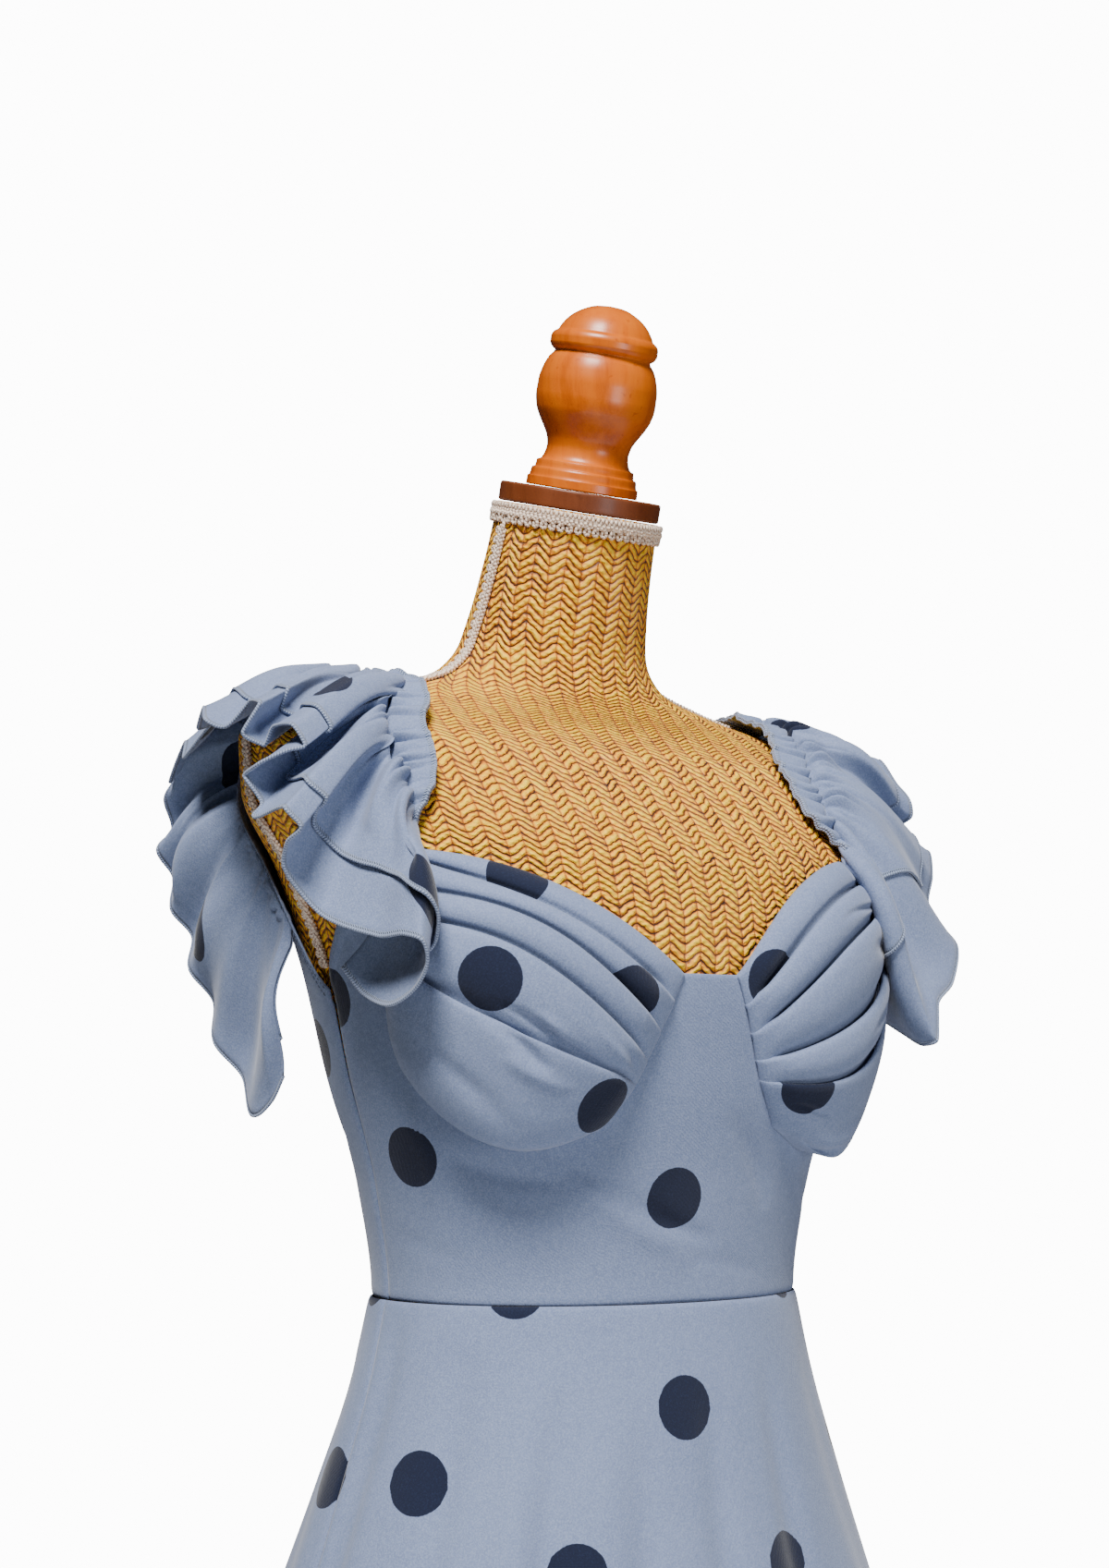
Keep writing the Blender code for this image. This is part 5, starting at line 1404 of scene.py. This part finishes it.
# %% Ruffles: layers, overlocked edges and the gathering stitches
RUFFLE_GRID_COLUMNS = 560     # evenly spaced along the table's knots
LAYERS = (("under", False, 9, 25), ("over", True, 13, 29))     # name, upper, heading's and flounce's rows
OVERLOCK_RADIUS = 0.00095
RUFFLE_DOTS = {      # knot of the table, how far down the flounce (or up the heading, below 0)
    "right": ((22.9, 0.50), (4.6, 0.62), (32.0, 0.90), (38.0, 0.05), (43.0, 0.62)),
    "left": ((15.0, 0.03), (18.5, 0.80), (24.0, 0.35), (29.0, 0.85), (34.0, 0.40)),
}


def nearest_places(side, knots, part):
    """The row and the column of a layer's grid where each printed dot has its centre."""
    places = []
    for knot, down in RUFFLE_DOTS[side]:
        place = int(np.argmin(np.abs(knots - knot)))
        places.append((int(np.argmin(np.abs(part[:, place] - down))), place))
    return places


def make_ruffles():
    """Two layers a side, with thread wound over their free edges and stitches on the gathering line."""
    for side in ("right", "left"):
        knots = np.linspace(0, len(RUFFLE_EDGE[side]) - 1, RUFFLE_GRID_COLUMNS)
        serge, stitches = [], []
        for name, upper, head_rows, fall_rows in LAYERS:
            inner, outer, normal, part = ruffle_skins(side, upper, knots, head_rows, fall_rows)
            down = run_along(outer, 0)
            fields = {
                "dot_distance": walked_dots(outer, nearest_places(side, knots, part)),
                "edge_distance": np.minimum(down[-1:] - down, down),
            }
            cloth_piece(f"ruffle_{side}_{name}_layer", [(inner, outer, fields)],
                        cut_size(outer),
                        f"ruffle_{side}_{name}")
            for row in (0, -1):
                serge.append(tube_parts((inner[row] + outer[row]) / 2, OVERLOCK_RADIUS, normal[row]))
            if upper:
                line_row = head_rows - 1
                row = stitch_parts(outer[line_row], normal[line_row], pitch=0.0030, length=0.0022)
                stitches.append(row)
        thread_piece(f"ruffle_{side}_overlock", serge, SERGE, "blue_crepe")
        thread_piece(f"ruffle_{side}_gathering_stitches", stitches, TOPSTITCH, "blue_crepe")


make_ruffles()

# %% [markdown]
# ## The skirt
#
# The skirt is two flared panels. Each level is an oval that widens as it falls, and round it run
# folds of unlike width that start at unlike heights and deepen to the hem. A narrow turned hem with
# one row of stitches ends it.

# %% Skirt
SKIRT_LENGTH = 0.93
SKIRT_ROWS = 92
SKIRT_COLUMNS = ("fall", "half_width", "front", "back")
SKIRT = (
    (0.000, 0.1245, 0.1000, 0.0860),
    (0.040, 0.1330, 0.1060, 0.0960),
    (0.100, 0.1520, 0.1150, 0.1180),
    (0.160, 0.1720, 0.1260, 0.1380),
    (0.250, 0.2000, 0.1480, 0.1620),
    (0.450, 0.2560, 0.1980, 0.2120),
    (0.700, 0.3140, 0.2540, 0.2680),
    (0.930, 0.3560, 0.2940, 0.3080),
)
SKIRT_FOLDS = (   # angle of the crest, depth at the hem, fall at which it starts
    (-172, 0.034, 0.10), (-148, 0.040, 0.07), (-121, 0.036, 0.05), (-97, 0.042, 0.03), (-74, 0.034, 0.09),
    (-50, 0.036, 0.12), (-29, 0.030, 0.13), (-7, 0.036, 0.12), (17, 0.032, 0.13), (41, 0.038, 0.11),
    (66, 0.034, 0.09), (92, 0.042, 0.04), (117, 0.036, 0.07), (141, 0.038, 0.08), (164, 0.032, 0.10),
)
HEM = 0.016              # the height of the turned hem
HEM_RISE, HEM_STEP = 0.0006, 0.0012     # how far it stands out of the panel, over how wide a step
HEM_STITCH_DROP, HEM_STITCH_OUT = 0.001, 0.0008     # its stitches, from its top edge and from the panel
SKIRT_SEAM = 0.0006      # from a side seam to a panel, before the folds bring the edges nearer
SKIRT_DOTS = (       # fall, angle
    (0.052, -3), (0.087, -63.5), (-0.005, -44.5), (0.134, 18.5), (0.130, -26.5), (0.091, -96),
    (-0.007, 38.5), (-0.006, -100.5), (0.078, 62), (0.140, 86), (0.052, 112), (0.135, 134),
    (0.058, 158), (0.140, 182), (0.060, 206), (0.142, 232),
)
DOT_PITCH = 0.102        # from dot to dot in a row
DOT_ROWS_FROM, DOT_ROW_PITCH = 0.222, DOT_PITCH * 0.87     # fall of the first full row, and on to the next
SKIRT_CREASES = (    # angle, fall, angle, fall, bow, depth, width
    (-33, 0.040, -30, 0.330, 0.002, -0.0052, 0.008), (-39, 0.030, -37, 0.320, 0.002, 0.0036, 0.012),
    (-14, 0.060, -12, 0.340, -0.002, -0.0048, 0.008), (-22, 0.050, -20, 0.320, 0.000, 0.0030, 0.012),
    (3, 0.040, 6, 0.320, 0.002, -0.0046, 0.008), (-56, 0.020, -55, 0.300, 0.002, -0.0036, 0.010),
    (22, 0.030, 25, 0.300, 0.003, -0.0044, 0.009), (-80, 0.006, -84, 0.220, 0.002, -0.0040, 0.009),
    (46, 0.020, 52, 0.170, 0.004, -0.0018, 0.014), (120, 0.020, 124, 0.180, 0.004, -0.0020, 0.014),
    (170, 0.015, 166, 0.150, 0.003, -0.0016, 0.012), (216, 0.020, 222, 0.190, -0.004, -0.0020, 0.015),
    (250, 0.030, 246, 0.150, 0.003, -0.0016, 0.012),
)


def skirt_point(fall, angle, out=0.0):
    """An oval that widens as it falls, plus folds: a cosine between crests, deeper toward the hem."""
    fall, angle = np.broadcast_arrays(np.asarray(fall, float), np.asarray(angle, float))
    falls = column(SKIRT, SKIRT_COLUMNS, "fall")
    half_width, front, back = (
        curve_through(falls, column(SKIRT, SKIRT_COLUMNS, name), fall) for name in SKIRT_COLUMNS[1:]
    )
    crest = np.array([row[0] for row in SKIRT_FOLDS], float)
    depth, start = np.array([row[1:] for row in SKIRT_FOLDS], float).T
    crest = np.concatenate([[crest[-1] - 360], crest, [crest[0] + 360]])
    depth = np.concatenate([[depth[-1]], depth, [depth[0]]])
    start = np.concatenate([[start[-1]], start, [start[0]]])
    turn = (angle + 180) % 360 - 180
    k = np.clip(np.searchsorted(crest, turn, side="right") - 1, 0, len(crest) - 2)
    part = (turn - crest[k]) / (crest[k + 1] - crest[k])
    deep = depth[k] + (depth[k + 1] - depth[k]) * part
    begin = start[k] + (start[k + 1] - start[k]) * part
    grown = np.clip((fall - begin) / (SKIRT_LENGTH - begin), 0, 1) ** 1.15
    fold = deep * grown * 0.5 * (np.cos(2 * np.pi * part) - 0.15) + out
    x, y = oval(turn, half_width + fold, front + fold, back + fold, 2.05)
    return np.stack([x, y, WAIST - fall], axis=-1)


def skirt_dots():
    """The dots near the waist, and rows below them, each row half a pitch on from the last."""
    centres = [skirt_point(fall, angle, CLOTH) - np.array([0, 0, min(fall, 0)]) for fall, angle in SKIRT_DOTS]
    turn = np.arange(0, 360, 2.0)
    for row, fall in enumerate(np.arange(DOT_ROWS_FROM, SKIRT_LENGTH, DOT_ROW_PITCH)):
        run = walk(skirt_point(fall, turn, CLOTH))
        count = round(run[-1] / DOT_PITCH)
        at = (np.arange(count) + 0.5 * (row % 2)) * run[-1] / count
        centres.extend(skirt_point(fall, np.interp(at, run, turn), CLOTH))
    return centres


def make_skirt():
    """Front and back panels with seams, a hem and the hem's stitches.

    The rows of a panel lie closer together toward the waist.
    """
    centres, hem = skirt_dots(), []
    falls, half_widths = (column(SKIRT, SKIRT_COLUMNS, name) for name in ("fall", "half_width"))
    climb = (1 - (1 - np.linspace(0, 1, SKIRT_ROWS)) ** 1.35)[:, None]
    fall = SKIRT_LENGTH + (SEAM - SKIRT_LENGTH) * climb
    for name, low, high, columns in (("front", -90, 90, 210), ("back", 90, 270, 170)):
        gap = np.degrees(SKIRT_SEAM / curve_through(falls, half_widths, fall))
        angle = (low + high) / 2 + (90 - gap) * np.linspace(-1, 1, columns)[None, :]
        side = np.minimum(high - angle, angle - low) * DEGREE * (1 + 2 * fall)
        shape = creased(angle * DEGREE, fall, in_metres(SKIRT_CREASES)) * soft_step(side / CREASE_FADE)
        shape = shape + rolled(fall, depth=0.0007) + rolled(side, depth=0.0010, reach=0.0022)
        shape = shape + HEM_RISE * soft_step((fall - SKIRT_LENGTH + HEM) / HEM_STEP)
        inner, outer = (skirt_point(fall, angle, shape + out) for out in (CLOTH - WALL, CLOTH))
        cloth_piece(f"skirt_{name}_panel", [(inner, outer, dotted(outer, centres))],
                    cut_size(outer), f"skirt_{name}")
        around = np.linspace(low + 1, high - 1, 400)
        path = skirt_point(SKIRT_LENGTH - HEM + HEM_STITCH_DROP, around, CLOTH + HEM_STITCH_OUT)
        outward = unit(path * np.array([1, 1, 0]))
        hem.append(stitch_parts(path, outward, pitch=0.0042, length=0.0030, radius=0.0004))
    thread_piece("hem_stitches", hem, TOPSTITCH, "blue_crepe")


make_skirt()

# %% [markdown]
# ## The floor
#
# A pale floor takes the stand's shadow. It is a stage, so it isn't part of the object.

# %% Floor
FLOOR_HALF = 1.5         # half of its side


def make_floor():
    """A wide pale plane with a faint grain."""
    paint = Finish("pale_floor", 0.85)
    grain = paint.noise(30.0, 3.0)
    finish = paint.done(paint.blend(grain * 0.3, shade(240, 240, 240), shade(232, 232, 233)))
    corners = FLOOR_HALF * np.array([[-1, -1, 0], [1, -1, 0], [1, 1, 0], [-1, 1, 0]])
    floor = make_mesh("floor", corners, np.array([[0, 1, 2, 3]]), corners[:, :2], finish)
    floor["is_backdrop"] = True


make_floor()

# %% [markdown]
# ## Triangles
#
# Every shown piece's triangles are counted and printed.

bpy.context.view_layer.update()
shown = [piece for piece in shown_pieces() if piece.type == "MESH"]
print("triangles shown:", sum(len(face.vertices) - 2 for piece in shown for face in piece.data.polygons))
